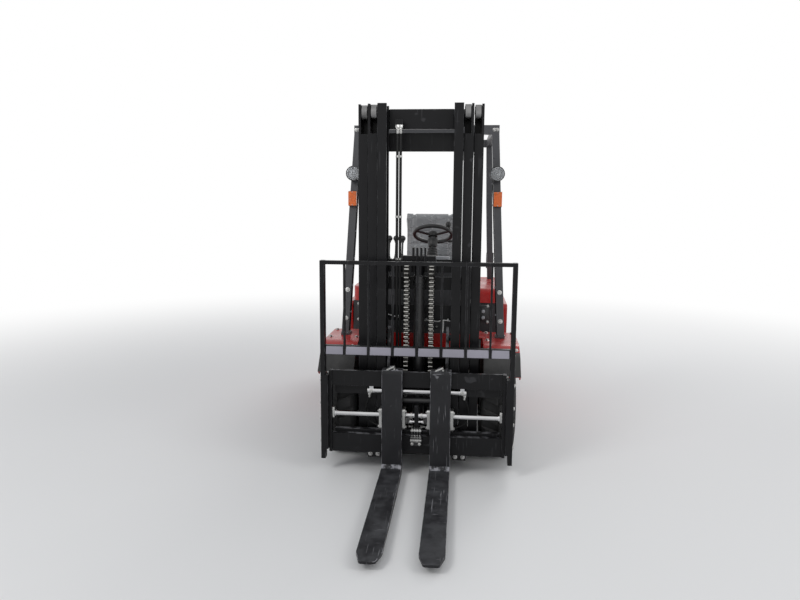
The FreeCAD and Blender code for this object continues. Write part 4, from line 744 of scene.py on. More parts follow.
for side_name, sign in SIDES:
    wheel_nuts(f"drive_nuts_{side_name}", joint_at[f"drive_wheel_{side_name}"], sign, 0.037, 0.110, 8, 0.027,
               f"drive_wheel_{side_name}")
    wheel_nuts(f"steer_nuts_{side_name}", joint_at[f"steer_wheel_{side_name}"], sign, 0.033, 0.088, 6, 0.022,
               f"steer_wheel_{side_name}")

# %% [markdown]
# ## Leaf chains
#
# A leaf chain is nothing but plates on pins: columns of figure-eight plates, one pitch long, that
# take turns so that every pin passes through both. One plate is a bevelled box with round ends,
# stacked across the width and repeated along the chain. The rounded plate ends are polished by the
# pulley, so they get the worn-edge attribute and read as bright dashes. Over its pulley the same
# link is turned round the pulley's centre. The front strands must close up as the carriage rises,
# and the rear ones must stretch; only the rear piece is told which joints it follows, and the
# front piece simply rides with the crosshead.

# %% Links, strands and anchors
FACE = -0.810
CHAIN_X, COLUMNS, PLATE = 0.075, 8, 0.0033
PULLEY = Vector((0, FACE + 0.192, 1.215))
CHAIN_REACH = 0.048
FRONT_FOOT, REAR_FOOT = 0.518, 0.745


def link(bm, foot, along, across, pitch, odd):
    """One pitch of chain from foot: half of its columns of plates, and the pin at the foot."""
    along, across = Vector(along).normalized(), Vector(across)
    place = Matrix((across, along.cross(across), along)).transposed().to_4x4()
    place.translation = foot
    polished = bm.faces.layers.float.get("rub_and_sheen") or bm.faces.layers.float.new("rub_and_sheen")
    width = COLUMNS * PLATE
    made = []
    for column in range(odd, COLUMNS, 2):
        x = (column + 0.5) * PLATE - width / 2
        half = PLATE * 0.46
        for z in (0, pitch):
            made += bmesh.ops.create_cone(bm, cap_ends=True, segments=10, radius1=0.0052, radius2=0.0052,
                                          depth=half * 2, matrix=Matrix.Translation((x, 0, z)) @
                                          Matrix.Rotation(math.pi / 2, 4, "Y"))["verts"]
    for face in {face for vert in made for face in vert.link_faces}:
        face[polished] = 2.5
    for column in range(odd, COLUMNS, 2):
        x = (column + 0.5) * PLATE - width / 2
        half = PLATE * 0.46
        made += bmesh.ops.create_cube(bm, size=1, matrix=Matrix.Translation((x, 0, pitch / 2)) @
                                      Matrix.Diagonal((half * 2, 0.0062, pitch, 1)))["verts"]
    made += bmesh.ops.create_cone(bm, cap_ends=True, segments=10, radius1=0.0026, radius2=0.0026,
                                  depth=width + 0.0016, matrix=Matrix.Rotation(math.pi / 2, 4, "Y"))["verts"]
    bmesh.ops.transform(bm, matrix=place, verts=made)


def strand(y, low, high, count):
    bm = bmesh.new()
    pitch = (high - low) / count
    for sign in (1, -1):
        for i in range(count):
            link(bm, (sign * CHAIN_X, y, low + i * pitch), (0, 0, 1), (1, 0, 0), pitch, i % 2)
    return bm


front_y, rear_y = PULLEY.y - CHAIN_REACH, PULLEY.y + CHAIN_REACH
front = piece("chain_front_links", strand(front_y, FRONT_FOOT, PULLEY.z, 27), "crosshead",
              chain_steel, ["chain_front"])
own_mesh(front)

bm = strand(rear_y, REAR_FOOT, PULLEY.z, 18)
rear = piece("chain_rear_links", bm, None, chain_steel, ["chain_rear"])
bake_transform(rear, "inner_mast", "crosshead", (0, rear_y, REAR_FOOT), (0, rear_y, PULLEY.z))

bm = bmesh.new()
for sign in (1, -1):
    for i in range(6):
        angle = math.pi * i / 6
        next_angle = math.pi * (i + 1) / 6
        foot = Vector((sign * CHAIN_X, PULLEY.y - CHAIN_REACH * math.cos(angle),
                       PULLEY.z + CHAIN_REACH * math.sin(angle)))
        tip = Vector((sign * CHAIN_X, PULLEY.y - CHAIN_REACH * math.cos(next_angle),
                      PULLEY.z + CHAIN_REACH * math.sin(next_angle)))
        link(bm, foot, tip - foot, (1, 0, 0), (tip - foot).length, i % 2)
    for x in (-0.0165, 0.0165):
        centre = Vector((sign * CHAIN_X + x, PULLEY.y, PULLEY.z))
        turned(bm, [(-0.0012, 0.0), (-0.0012, 0.044), (0.0012, 0.044), (0.0012, 0.0)], centre, X_DIR, 40)
piece("chain_over_pulleys", bm, "crosshead", chain_steel)

bm = bmesh.new()
for sign in (1, -1):
    x = sign * CHAIN_X
    block(bm, (x - 0.017, front_y - 0.0085, 0.5185), (x + 0.017, front_y + 0.0085, 0.531), 0.002)
    rod(bm, (x, front_y, 0.425), (x, front_y, 0.520), 0.007, 0.001, 16)
    for z in (0.487, 0.472):
        hex_bolt(bm, (x, front_y, z), (0, 0, -1), 0.022, 0.011, z > 0.48)
piece("chain_anchors_carriage", bm, "carriage", zinc)

bm = bmesh.new()
for sign in (1, -1):
    x = sign * CHAIN_X
    block(bm, (x - 0.016, rear_y - 0.008, 0.7455), (x + 0.016, rear_y + 0.008, 0.756), 0.002)
    rod(bm, (x, rear_y, 0.655), (x, rear_y, 0.746), 0.007, 0.001, 16)
    for z in (0.7195, 0.7045):
        hex_bolt(bm, (x, rear_y, z), (0, 0, -1), 0.022, 0.011, z > 0.71)
piece("chain_anchors_mast", bm, "inner_mast", zinc)
print("link faces", len(front.data.polygons))

# %% [markdown]
# ## Mast fittings
#
# The mast is black on black, so it reads only through its small bright parts: the steel rollers
# in their notches, the chromed rods, the gland rings of the cylinders, nuts and weld beads. A
# weld bead is a rod with a row of overlapping ripples, laid into the corner of two plates.


# %% Rollers, glands and weld beads
def weld(bm, start, end, radius=0.0032, pitch=0.0042):
    """A fillet weld from start to end, rippled along its length."""
    start, end = Vector(start), Vector(end)
    span = end - start
    count = max(2, round(span.length / pitch))
    profile = [(0, 0.0)]
    for i in range(count):
        profile += [(span.length * (i + 0.08) / count, radius * 0.82),
                    (span.length * (i + 0.62) / count, radius * (1 + 0.07 * math.sin(i * 2.3)))]
    turned(bm, profile + [(span.length, 0.0)], start, span.normalized(), 8)


def steel_roller(bm, x, y, z, radius, width, sign):
    """A ball-bearing roller: crowned tread, stepped faces and a pin with its ring."""
    half = width / 2
    profile = [(-half, 0.0), (-half, radius * 0.34), (-half + 0.0015, radius * 0.36),
               (-half + 0.0015, radius * 0.62), (-half, radius * 0.64), (-half, radius - 0.003),
               (-half + 0.003, radius), (half - 0.003, radius), (half, radius - 0.003),
               (half, radius * 0.64), (half - 0.0015, radius * 0.62), (half - 0.0015, radius * 0.36),
               (half, radius * 0.34), (half, 0.0)]
    turned(bm, profile, Vector((x, y, z)), X_DIR, 48)
    inner = x - sign * half
    turned(bm, [(0, 0.0), (0, 0.013), (0.003, 0.013), (0.004, 0.009), (0.004, 0.0)],
           Vector((inner, y, z)), Vector((-sign, 0, 0)), 24)


for body, roller_x, stage_front in (("outer_mast", 0.333, -0.640), ("middle_mast", 0.274, -0.665)):
    bm = bmesh.new()
    for sign in (1, -1):
        steel_roller(bm, sign * roller_x, stage_front + 0.045, 2.1546, 0.0454, 0.0368, sign)
    piece(body + "_top_rollers", bm, body, axle_steel)
bm = bmesh.new()
for sign in (1, -1):
    for z in (0.330, 0.820):
        steel_roller(bm, sign * 0.215, -0.620, z, 0.0559, 0.0328, sign)
piece("carriage_rollers", bm, "carriage", axle_steel)

# stage, half width at the tie, rear face of the channels, tie heights
TIES = (("outer_mast", 0.311, -0.500, (0.095, 0.215, 0.900, 1.000, 1.940, 2.050)),
        ("middle_mast", 0.252, -0.525, (0.130, 0.230, 1.100, 1.180, 2.080, 2.185)),
        ("inner_mast", 0.193, -0.550, (0.110, 0.180, 1.210, 1.290, 2.065, 2.180)))
for body, half, back_y, heights in TIES:
    bm = bmesh.new()
    for sign in (1, -1):
        for low, high in zip(heights[::2], heights[1::2]):
            weld(bm, (sign * half, back_y + 0.0005, low + 0.004),
                 (sign * half, back_y + 0.0005, high - 0.004))
            for z in (low, high):
                weld(bm, (sign * (half + 0.006), back_y + 0.0005, z),
                     (sign * (half + 0.050), back_y + 0.0005, z), 0.0028)
    piece(body + "_welds", bm, body, mast_black)


def gland(bm, centre, direction, radius, rod_radius):
    """The head of a cylinder: a knurled ring, a step, and the lip that wipes the rod."""
    turned(bm, [(-0.040, radius * 0.99), (-0.038, radius * 1.04), (-0.012, radius * 1.04),
                (-0.010, radius * 0.96), (-0.006, radius * 0.96), (-0.004, radius * 1.0),
                (0.001, radius * 1.0), (0.004, radius * 0.9), (0.004, rod_radius * 1.22),
                (0.010, rod_radius * 1.16), (0.011, rod_radius * 1.03), (0.004, rod_radius * 1.02)],
           Vector(centre), Vector(direction), 40)
    for i in range(4):
        angle = FULL_TURN * (i + 0.5) / 4
        side = aimed(Vector(centre), direction) @ Vector((radius * 0.97, 0, 0))
        side = Matrix.Translation(Vector(centre)) @ Matrix.Rotation(angle, 4, Vector(direction)) @ \
            Matrix.Translation(-Vector(centre)) @ side
        hex_bolt(bm, side - Vector(direction) * 0.024, side - Vector(centre), 0.008, 0.004, False)


bm = bmesh.new()
for sign in (1, -1):
    gland(bm, (sign * 0.280, -0.452, 1.960), (0, 0, 1), 0.032, 0.022)
    turned(bm, [(-0.012, 0.033), (-0.010, 0.0355), (0.010, 0.0355), (0.012, 0.033)],
           Vector((sign * 0.280, -0.452, 1.02)), Z_DIR, 40)
    rod(bm, (sign * 0.280, -0.478, 0.190), (sign * 0.280, -0.496, 0.190), 0.010, 0.001, 6)
piece("lift_cylinder_heads", bm, "outer_mast", cylinder_black)
bm = bmesh.new()
gland(bm, (0, -0.595, 1.190), (0, 0, 1), 0.038, 0.028)
piece("free_lift_head", bm, "inner_mast", cylinder_black)
bm = bmesh.new()
for sign in (1, -1):
    rod(bm, (sign * 0.280, -0.452, 2.150), (sign * 0.280, -0.452, 2.158), 0.017, 0.001, 24)
    hex_bolt(bm, (sign * 0.280, -0.452, 2.158), (0, 0, 1), 0.024, 0.012, False)
piece("lift_rod_nuts", bm, "middle_mast", zinc)

bm = bmesh.new()
TILT_EYE, TILT_FOOT = Vector((0.340, -0.410, 0.545)), Vector((0.340, 0.150, 0.440))
tilt_way = (TILT_EYE - TILT_FOOT).normalized()
for sign in (1, -1):
    way = Vector((0, tilt_way.y, tilt_way.z))
    head = TILT_FOOT + tilt_way * 0.414
    gland(bm, (sign * head.x, head.y, head.z), way, 0.034, 0.015)
piece("tilt_cylinder_heads", bm, "tilt_barrels", cylinder_black)
bm = bmesh.new()
for sign in (1, -1):
    for x in (0.3645, 0.3155):
        outward = 1 if x > 0.34 else -1
        hex_bolt(bm, (sign * x, TILT_EYE.y, TILT_EYE.z), (sign * outward, 0, 0), 0.026, 0.008, True)
piece("tilt_pin_nuts", bm, "outer_mast", zinc)

# %% [markdown]
# ## Hoses
#
# These hoses are clamped at both ends and held along the mast, so their route is fixed. Each is
# a round section along a smooth NURBS curve through the CAD route, with a crimped steel ferrule
# and a hexagon nut at both ends. Ripples along the ferrule come from its turned profile.


# %% Hoses with crimped ends
def swept(bm, route, radius, steps=3, resolution=10):
    """A round section along a NURBS curve whose control points are route."""
    curve = bpy.data.curves.new("route", "CURVE")
    curve.dimensions = "3D"
    spline = curve.splines.new("NURBS")
    spline.points.add(len(route) - 1)
    for point, place in zip(spline.points, route):
        point.co = (*place, 1)
    spline.order_u = 3
    spline.use_endpoint_u = True
    curve.resolution_u = resolution
    curve.bevel_depth, curve.bevel_resolution, curve.use_fill_caps = radius, steps, True
    obj = bpy.data.objects.new("route", curve)
    bpy.context.scene.collection.objects.link(obj)
    mesh = bpy.data.meshes.new_from_object(obj.evaluated_get(bpy.context.evaluated_depsgraph_get()))
    bm.from_mesh(mesh)
    bpy.data.objects.remove(obj)
    bpy.data.meshes.remove(mesh)


def ferrule(bm, end, inward, radius, length=0.034):
    """The crimped sleeve and nut of a hose end; inward points along the hose."""
    end, inward = Vector(end), Vector(inward).normalized()
    rod(bm, end, end + inward * length * 0.38, radius * 1.72, 0.0006, 6)
    profile = [(length * 0.38, 0.0), (length * 0.38, radius * 1.22)]
    for i in range(5):
        at = length * (0.46 + 0.1 * i)
        profile += [(at, radius * 1.34), (at + length * 0.03, radius * 1.22), (at + length * 0.06, radius * 1.34)]
    turned(bm, profile + [(length, radius * 1.18), (length, 0.0)], end, inward, 20)


hose, ends = bmesh.new(), bmesh.new()
for x in (-0.115, -0.134):
    route = [(x, y, z) for y, z in ((-0.660, 2.080), (-0.660, 1.250), (-0.652, 1.000), (-0.580, 0.700),
                                    (-0.570, 0.480), (-0.570, 0.160))]
    swept(hose, route, 0.008, 4, 16)
    ferrule(ends, route[0], (0, 0, -1), 0.008, 0.050)
    ferrule(ends, route[-1], (0, 0, 1), 0.008, 0.050)
    for z in (1.900, 1.550, 1.300):
        turned(ends, [(-0.006, 0.0082), (-0.006, 0.0094), (0.006, 0.0094), (0.006, 0.0082)],
               Vector((x, -0.660, z)), Z_DIR, 20)
piece("mast_hose_pair", hose, "inner_mast", hose_black, ["mast_hoses"])
piece("mast_hose_ends", ends, "inner_mast", zinc)

hose, ends = bmesh.new(), bmesh.new()
POSITIONER_ROUTE = ((0.285, 0.0625, 0.495), (0.285, 0.0625, 0.473), (0.300, 0.084, 0.438),
                    (0.312, 0.101, 0.398), (0.310, 0.101, 0.352), (0.286, 0.101, 0.302),
                    (0.236, 0.101, 0.279), (0.170, 0.101, 0.275), (0.100, 0.101, 0.279),
                    (0.022, 0.101, 0.279))
for sign in (1, -1):
    route = [(sign * x, FACE + y, z) for x, y, z in POSITIONER_ROUTE]
    swept(hose, route, 0.006, 3, 10)
    ferrule(ends, route[0], (0, 0, -1), 0.006, 0.026)
    ferrule(ends, route[-1], (sign, 0, 0), 0.006, 0.030)
piece("positioner_hose_pair", hose, "side_shift", hose_black, ["positioner_hoses"])
piece("positioner_hose_ends", ends, "side_shift", zinc)
print("hoses and their ends: 4 pieces")

# %% [markdown]
# ## Fork positioner and forks
#
# This is the busiest place in the photograph, and almost all of it is bright fasteners on black
# plates. Each fitting is a small turned, bevelled or hexagonal form, gathered by the body it
# moves with, so a fork's latch slides with its fork and the valve block stays where it is.

# %% Positioner fittings
bm = bmesh.new()
for sign in (1, -1):
    for z in (0.3, 0.425):
        hex_bolt(bm, (sign * 0.5305, -0.750, z), (sign, 0, 0), 0.0165, 0.010)
    for z in (0.158, 0.208, 0.560, 0.612):
        hex_bolt(bm, (sign * 0.5305, -0.748, z), (sign, 0, 0), 0.0165, 0.010)
    rod(bm, (sign * 0.5123, -0.744, 0.362), (sign * 0.5365, -0.744, 0.362), 0.0165, 0.002, 28)
    block(bm, (sign * 0.505 - 0.0085, -0.7665, 0.338), (sign * 0.505 + 0.0085, -0.7330, 0.404), 0.003)
    rod(bm, (sign * 0.505, -0.770, 0.388), (sign * 0.505, -0.728, 0.388), 0.0065, 0.001, 6)
    turned(bm, [(-0.006, 0.0162), (-0.005, 0.0205), (0.005, 0.0205), (0.006, 0.0162)],
           Vector((sign * 0.030, -0.744, 0.362)), X_DIR, 32)
    for x in (0.262, 0.293):
        turned(bm, [(-0.0045, 0.015), (-0.0035, 0.0165), (0.0035, 0.0165), (0.0045, 0.015)],
               Vector((sign * x, -0.747, 0.512)), X_DIR, 32)
    rod(bm, (sign * 0.285, -0.7475, 0.492), (sign * 0.285, -0.7475, 0.500), 0.0095, 0.0008, 6)
    hex_bolt(bm, (sign * 0.273, -0.7645, 0.512), (0, -1, 0), 0.013, 0.007)
    rod(bm, (sign * 0.0395, -0.744, 0.322), (sign * 0.0455, -0.744, 0.322), 0.0125, 0.001, 6)
piece("positioner_fittings", bm, "side_shift", zinc)

bm = bmesh.new()
for x in (-0.024, -0.008, 0.008, 0.024):
    rod(bm, (x, -0.779, 0.2275), (x, -0.779, 0.2395), 0.0082, 0.0008, 6)
    turned(bm, [(0.0, 0.0), (0.0, 0.0066), (0.008, 0.0066), (0.010, 0.0052), (0.034, 0.0052),
                (0.036, 0.0066), (0.050, 0.0066), (0.052, 0.0050), (0.060, 0.0050), (0.061, 0.0)],
           Vector((x, -0.779, 0.240)), Z_DIR, 20)
    rod(bm, (x, -0.779, 0.272), (x, -0.779, 0.284), 0.0084, 0.0008, 6)
for x in (-0.022, 0.022):
    hex_bolt(bm, (x, -0.7942, 0.199), (0, -1, 0), 0.010, 0.006)
block(bm, (-0.0335, -0.7955, 0.2105), (0.0335, -0.7640, 0.2275), 0.0015)
piece("valve_fittings", bm, "side_shift", zinc)

# %% [markdown]
# The guide pads are brass-coloured plastic, and the hooks below are held by two bolts each.

# %% Pads and hook bolts
bm = bmesh.new()
for sign in (1, -1):
    block(bm, (sign * 0.25 - 0.098, -0.7315, 0.5812), (sign * 0.25 + 0.098, -0.6985, 0.5872), 0.001)
piece("slide_pads", bm, "side_shift", pad_yellow)
bm = bmesh.new()
for sign in (1, -1):
    for x in (0.236, 0.282):
        hex_bolt(bm, (sign * x, -0.7325, 0.105), (0, -1, 0), 0.015, 0.008)
piece("hook_bolts", bm, "side_shift", zinc)

# %% [markdown]
# A fork's latch is a lever on a pin: lifting it draws a stud out of a notch in the upper bar.

# %% Fork latches and clamps
for side_name, sign in SIDES:
    bm = bmesh.new()
    x = sign * 0.144
    lever = Matrix.Rotation(math.radians(-26), 3, "Y")
    block(bm, (x - 0.036, -0.799, 0.6560), (x + 0.016, -0.772, 0.6670), 0.0025, lever)
    rod(bm, (x + 0.013, -0.800, 0.658), (x + 0.013, -0.772, 0.658), 0.0055, 0.001, 16)
    rod(bm, (x - 0.002, -0.788, 0.650), (x - 0.002, -0.788, 0.6735), 0.006, 0.0015, 20)
    piece(f"fork_latch_{side_name}", bm, f"fork_{side_name}", zinc)
    bm = bmesh.new()
    for out in (1, -1):
        for z in (0.300, 0.396):
            hex_bolt(bm, (x + out * 0.0788, -0.780, z), (out, 0, 0), 0.013, 0.007)
    turned(bm, [(-0.078, 0.0168), (-0.078, 0.0235), (-0.070, 0.0235), (-0.070, 0.0168)],
           Vector((x, -0.744, 0.362)), X_DIR, 32, closed=True)
    turned(bm, [(0.070, 0.0168), (0.070, 0.0235), (0.078, 0.0235), (0.078, 0.0168)],
           Vector((x, -0.744, 0.362)), X_DIR, 32, closed=True)
    piece(f"clamp_bolts_{side_name}", bm, f"fork_{side_name}", zinc)

# %% [markdown]
# The backrest is bolted to the ends of the fork bars, and its grille bars are welded in.

# %% Backrest bolts and welds
bm, beads = bmesh.new(), bmesh.new()
for sign in (1, -1):
    for z in (0.190, 0.330, 0.430, 0.570):
        hex_bolt(bm, (sign * 0.5745, -0.765, z), (sign, 0, 0), 0.018, 0.007)
for i in range(-3, 4):
    x = i * 0.143
    for edge in (-0.006, 0.006):
        weld(beads, (x + edge, -0.7995, 1.2735), (x + edge, -0.783, 1.2735), 0.0025)
        weld(beads, (x + edge, -0.7985, 0.7895), (x + edge, -0.7855, 0.7895), 0.0025)
piece("backrest_bolts", bm, "side_shift", zinc)
piece("backrest_welds", beads, "side_shift", mast_black)
print("front end done")

# %% Strip plates on the backrest
bm = bmesh.new()
strip_lean = Matrix.Rotation(math.radians(-13), 3, "X")
edges_x = [-0.548] + [i * 0.143 for i in range(-3, 4)] + [0.548]
for low_x, high_x in zip(edges_x, edges_x[1:]):
    block(bm, (low_x + 0.009, -0.8000, 0.7395), (high_x - 0.009, -0.7968, 0.7865), 0.0008, strip_lean)
piece("backrest_strip_plates", bm, "side_shift", strip_grey)

# %% [markdown]
# Two wires hang on the crossbar behind the chains, held by small clips. Their pale sheath is
# painted near white, a painted highlight that keeps them bright in the mast's shade.

# %% Mast wiring
bm = bmesh.new()
WIRE, WIRE_Y = 0.0040, -0.5175
for route in ([(-0.245, 0.957), (-0.215, 0.940), (-0.180, 0.936), (-0.150, 0.924), (-0.118, 0.922)],
              [(0.025, 0.905), (0.070, 0.913), (0.110, 0.896), (0.140, 0.912), (0.190, 0.905)],
              [(0.146, 0.908), (0.149, 0.870), (0.144, 0.830)]):
    swept(bm, [(x, WIRE_Y, z) for x, z in route], WIRE, 2, 8)
for x, z in ((-0.230, 0.948), (-0.134, 0.923), (0.040, 0.907), (0.176, 0.907)):
    turned(bm, [(-0.004, WIRE), (-0.004, WIRE + 0.0016), (0.004, WIRE + 0.0016), (0.004, WIRE)],
           Vector((x, WIRE_Y, z)), X_DIR, 14, closed=True)
    block(bm, (x - 0.004, WIRE_Y, z), (x + 0.004, -0.5115, z + 0.012), 0.0008)
piece("mast_wires", bm, "outer_mast", wire_pale_with_painted_highlight)

# %% [markdown]
# ## Lamps
#
# A lamp is believed when light enters it. The work lamps are real bowls: a ribbed housing with a
# wall that turns inwards, a polished reflector in it, a small source and a domed clear lens.

# %% Work lamps
FRONT_LEG = ((0.520, -0.215, 0.750), (0.482, -0.110, 1.580), (0.462, -0.010, 2.085))
REAR_LEG = ((0.500, 1.115, 0.960), (0.475, 1.060, 1.600), (0.462, 1.020, 2.085))


def leg_at(stations, z):
    """Centre of a guard leg at a height: (x, y)."""
    for (x0, y0, z0), (x1, y1, z1) in zip(stations, stations[1:]):
        if z0 <= z <= z1:
            share = (z - z0) / (z1 - z0)
            return x0 + share * (x1 - x0), y0 + share * (y1 - y0)


housing, bowl, glass, source = bmesh.new(), bmesh.new(), bmesh.new(), bmesh.new()
FORWARD = Vector((0, -1, 0))
for sign in (1, -1):
    back = Vector((sign * 0.4729, -0.1225, 1.822))
    fins = []
    for i in range(5):
        at = 0.013 + 0.006 * i
        fins += [(at, 0.0488), (at + 0.0028, 0.0488), (at + 0.0030, 0.0455), (at + 0.0058, 0.0455)]
    turned(housing, [(0.0, 0.0), (0.0, 0.026), (0.004, 0.038), (0.012, 0.0455)] + fins
           + [(0.045, 0.0489), (0.059, 0.0489), (0.060, 0.0480), (0.060, 0.0440), (0.054, 0.0428),
              (0.036, 0.0372), (0.020, 0.0245), (0.0115, 0.0100), (0.0115, 0.0)], back, FORWARD, 48)
    rod(housing, back + Vector((0, 0.0005, 0)), back + Vector((0, 0.0085, 0)), 0.034, 0.002, 32)
    block(housing, (sign * 0.4729 - 0.014, -0.1165, 1.810), (sign * 0.4729 + 0.014, -0.1035, 1.834), 0.002)
    turned(bowl, [(0.0125, 0.0), (0.0125, 0.0100), (0.0208, 0.0236), (0.0366, 0.0362), (0.0541, 0.0420),
                  (0.0546, 0.0426), (0.0362, 0.0370), (0.0202, 0.0243), (0.0118, 0.0103), (0.0118, 0.0)],
           back, FORWARD, 40)
    turned(glass, [(0.0548, 0.0), (0.0548, 0.0434), (0.0572, 0.0434), (0.0588, 0.034), (0.0596, 0.016),
                   (0.0598, 0.0)], back, FORWARD, 40)
    turned(source, [(0.0120, 0.0), (0.0120, 0.0090), (0.0200, 0.0080), (0.0255, 0.0045), (0.0265, 0.0)],
           back, FORWARD, 20)
piece("work_lamp_housings", housing, "chassis", plastic_black, ["work_lamps"])
piece("work_lamp_bowls", bowl, "chassis", mirror_bowl)
piece("work_lamp_sources", source, "chassis", light_panel)
piece("work_lamp_lenses", glass, "chassis", clear_lens)


# %% Turn lamps and tail lamps
def pan_head(bm, place, direction, radius):
    """A screw with a low round head and a socket in it."""
    height = radius * 0.62
    turned(bm, [(-0.0006, 0.0), (-0.0006, radius), (height * 0.4, radius), (height, radius * 0.74),
                (height, radius * 0.42), (height * 0.45, radius * 0.38), (height * 0.45, 0.0)],
           Vector(place), Vector(direction), 18)


back_plates, orange, red, screws = bmesh.new(), bmesh.new(), bmesh.new(), bmesh.new()
for sign in (1, -1):
    x, y = leg_at(FRONT_LEG, 1.610)
    x, face = sign * x, y - 0.040
    block(back_plates, (x - 0.0285, face - 0.0065, 1.6075), (x + 0.0285, face + 0.001, 1.7075), 0.002)
    for i in range(9):
        z = 1.622 + i * 0.0085
        block(orange, (x - 0.0215, face - 0.0348, z), (x + 0.0215, face - 0.0335, z + 0.0040), 0.0006)
    for z in (1.6155, 1.6995):
        pan_head(screws, (x, face - 0.0340, z), FORWARD, 0.0036)
    x, y = leg_at(REAR_LEG, 1.080)
    x, face = sign * x, y + 0.040
    block(back_plates, (x - 0.0315, face - 0.001, 1.0785), (x + 0.0315, face + 0.0065, 1.2115), 0.002)
    for i in range(12):
        z = 1.094 + i * 0.0088
        block(red, (x - 0.0245, face + 0.0355, z), (x + 0.0245, face + 0.0368, z + 0.0042), 0.0006)
    for z in (1.0865, 1.2035):
        pan_head(screws, (x, face + 0.0360, z), (0, 1, 0), 0.0038)
piece("lamp_back_plates", back_plates, "chassis", plastic_black)
piece("turn_lamp_ribs", orange, "chassis", orange_lens)
piece("tail_lamp_ribs", red, "chassis", red_lens)
piece("lamp_screws", screws, "chassis", zinc)

# %% [markdown]
# ## Guard fittings
#
# Bolts must stand on the real surface, also where it leans. A ray sent at the CAD mesh returns
# the point and the normal, so the bolt needs only a rough starting place and a direction.


# %% Bolts, cables and welds on the guard
def surface(node):
    """A search tree of a CAD piece, for rays."""
    bm = bmesh.new()
    bm.from_mesh(nodes[node].data)
    tree = BVHTree.FromBMesh(bm)
    bm.free()
    return tree


def bolts_on(bm, node, starts, direction, across, height=None):
    """Hexagon bolts where rays from starts meet the piece."""
    tree = surface(node)
    for start in starts:
        place, normal = tree.ray_cast(Vector(start), Vector(direction))[:2]
        if place:
            hex_bolt(bm, place, normal, across, height)


def screws_on(bm, node, starts, direction, radius):
    tree = surface(node)
    for start in starts:
        place, normal = tree.ray_cast(Vector(start), Vector(direction))[:2]
        if place:
            pan_head(bm, place, normal, radius)


bolts, cables, clips, beads = bmesh.new(), bmesh.new(), bmesh.new(), bmesh.new()
for sign in (1, -1):
    starts = [(sign * leg_at(FRONT_LEG, z)[0], -0.5, z) for z in (0.860, 1.050)]
    bolts_on(bolts, "overhead_guard", starts, (0, 1, 0), 0.017, 0.008)
    starts = [(sign * x, -0.5, 2.115) for x in (0.452, 0.472)]
    bolts_on(bolts, "overhead_guard", starts, (0, 1, 0), 0.013, 0.006)
    route = []
    for z in (0.775, 0.950, 1.150, 1.350, 1.560, 1.700, 1.790):
        x, y = leg_at(FRONT_LEG, z)
        route.append((sign * (x - 0.0272), y - 0.022, z))
    x, y = leg_at(FRONT_LEG, 1.815)
    swept(cables, route + [(sign * (x - 0.024), y - 0.048, 1.812), (sign * (x - 0.012), y - 0.058, 1.822)],
          0.0032, 2, 8)
    for z in (0.900, 1.080, 1.260, 1.440, 1.620, 1.760):
        x, y = leg_at(FRONT_LEG, z)
        block(clips, (sign * (x - 0.0278) - 0.0042, y - 0.030, z - 0.006),
              (sign * (x - 0.0278) + 0.0042, y - 0.014, z + 0.006), 0.0015)
    x, y = FRONT_LEG[0][:2]
    for out in (-1, 1):
        weld(beads, (sign * x + out * 0.0245, y - 0.038, 0.7625), (sign * x + out * 0.0245, y + 0.038, 0.7625),
             0.004, 0.006)
        weld(beads, (sign * x - 0.022, y + out * 0.0405, 0.7625), (sign * x + 0.022, y + out * 0.0405, 0.7625),
             0.004, 0.006)
for x in (-0.330, -0.198, -0.066, 0.066, 0.198, 0.330):
    for side in (-0.0142, 0.0142):
        weld(beads, (x + side, 0.0005, 2.107), (x + side, 0.0005, 2.138), 0.0034, 0.006)
        weld(beads, (x + side, 1.0045, 2.107), (x + side, 1.0045, 2.138), 0.0034, 0.006)
piece("guard_bolts", bolts, "chassis", zinc)
piece("guard_cables", cables, "chassis", hose_black)
piece("guard_cable_clips", clips, "chassis", light_panel)
piece("guard_welds", beads, "chassis", guard_grey)

# %% [markdown]
# ## The driver's place
#
# The cowl carries an instrument pod, a key switch and a cover plate with screws. The levers get
# rubber boots and capped knobs, the column a ribbed boot and a stalk, and the wheel a spinner.

# %% Cowl, pod and switches
pod, dark, screws, plate = bmesh.new(), bmesh.new(), bmesh.new(), bmesh.new()
block(pod, (0.036, -0.150, 1.214), (0.174, -0.098, 1.276), 0.008, segments=3)
block(dark, (0.048, -0.0985, 1.228), (0.162, -0.0962, 1.266), 0.0012)
for i in range(4):
    x = 0.196 + i * 0.026
    block(dark, (x, -0.118, 1.222), (x + 0.019, -0.086, 1.239), 0.003,
          Matrix.Rotation(math.radians(6 if i % 2 else 14), 3, "X"))
turned(dark, [(-0.012, 0.0), (-0.012, 0.015), (0.004, 0.015), (0.006, 0.012), (0.007, 0.0)],
       (-0.070, -0.085, 1.233), Z_DIR, 28)
block(screws, (-0.0712, -0.0940, 1.2385), (-0.0688, -0.0760, 1.262), 0.0008)
turned(screws, [(-0.0012, 0.0), (-0.0012, 0.011), (0.0012, 0.011), (0.0012, 0.0)],
       (-0.070, -0.085, 1.268), X_DIR, 24)
block(plate, (-0.300, -0.2395, 0.800), (0.300, -0.2350, 1.130), 0.0016)
for x in (-0.285, -0.095, 0.095, 0.285):
    for z in (0.815, 1.115):
        pan_head(screws, (x, -0.2395, z), FORWARD, 0.0065)
for x in (-0.345, 0.345):
    for z in (0.850, 1.100):
        hex_bolt(screws, (x, -0.2362, z), FORWARD, 0.015, 0.007)
for x in (-0.340, 0.0, 0.340):
    pan_head(screws, (x, -0.2502, 0.745), FORWARD, 0.0075)
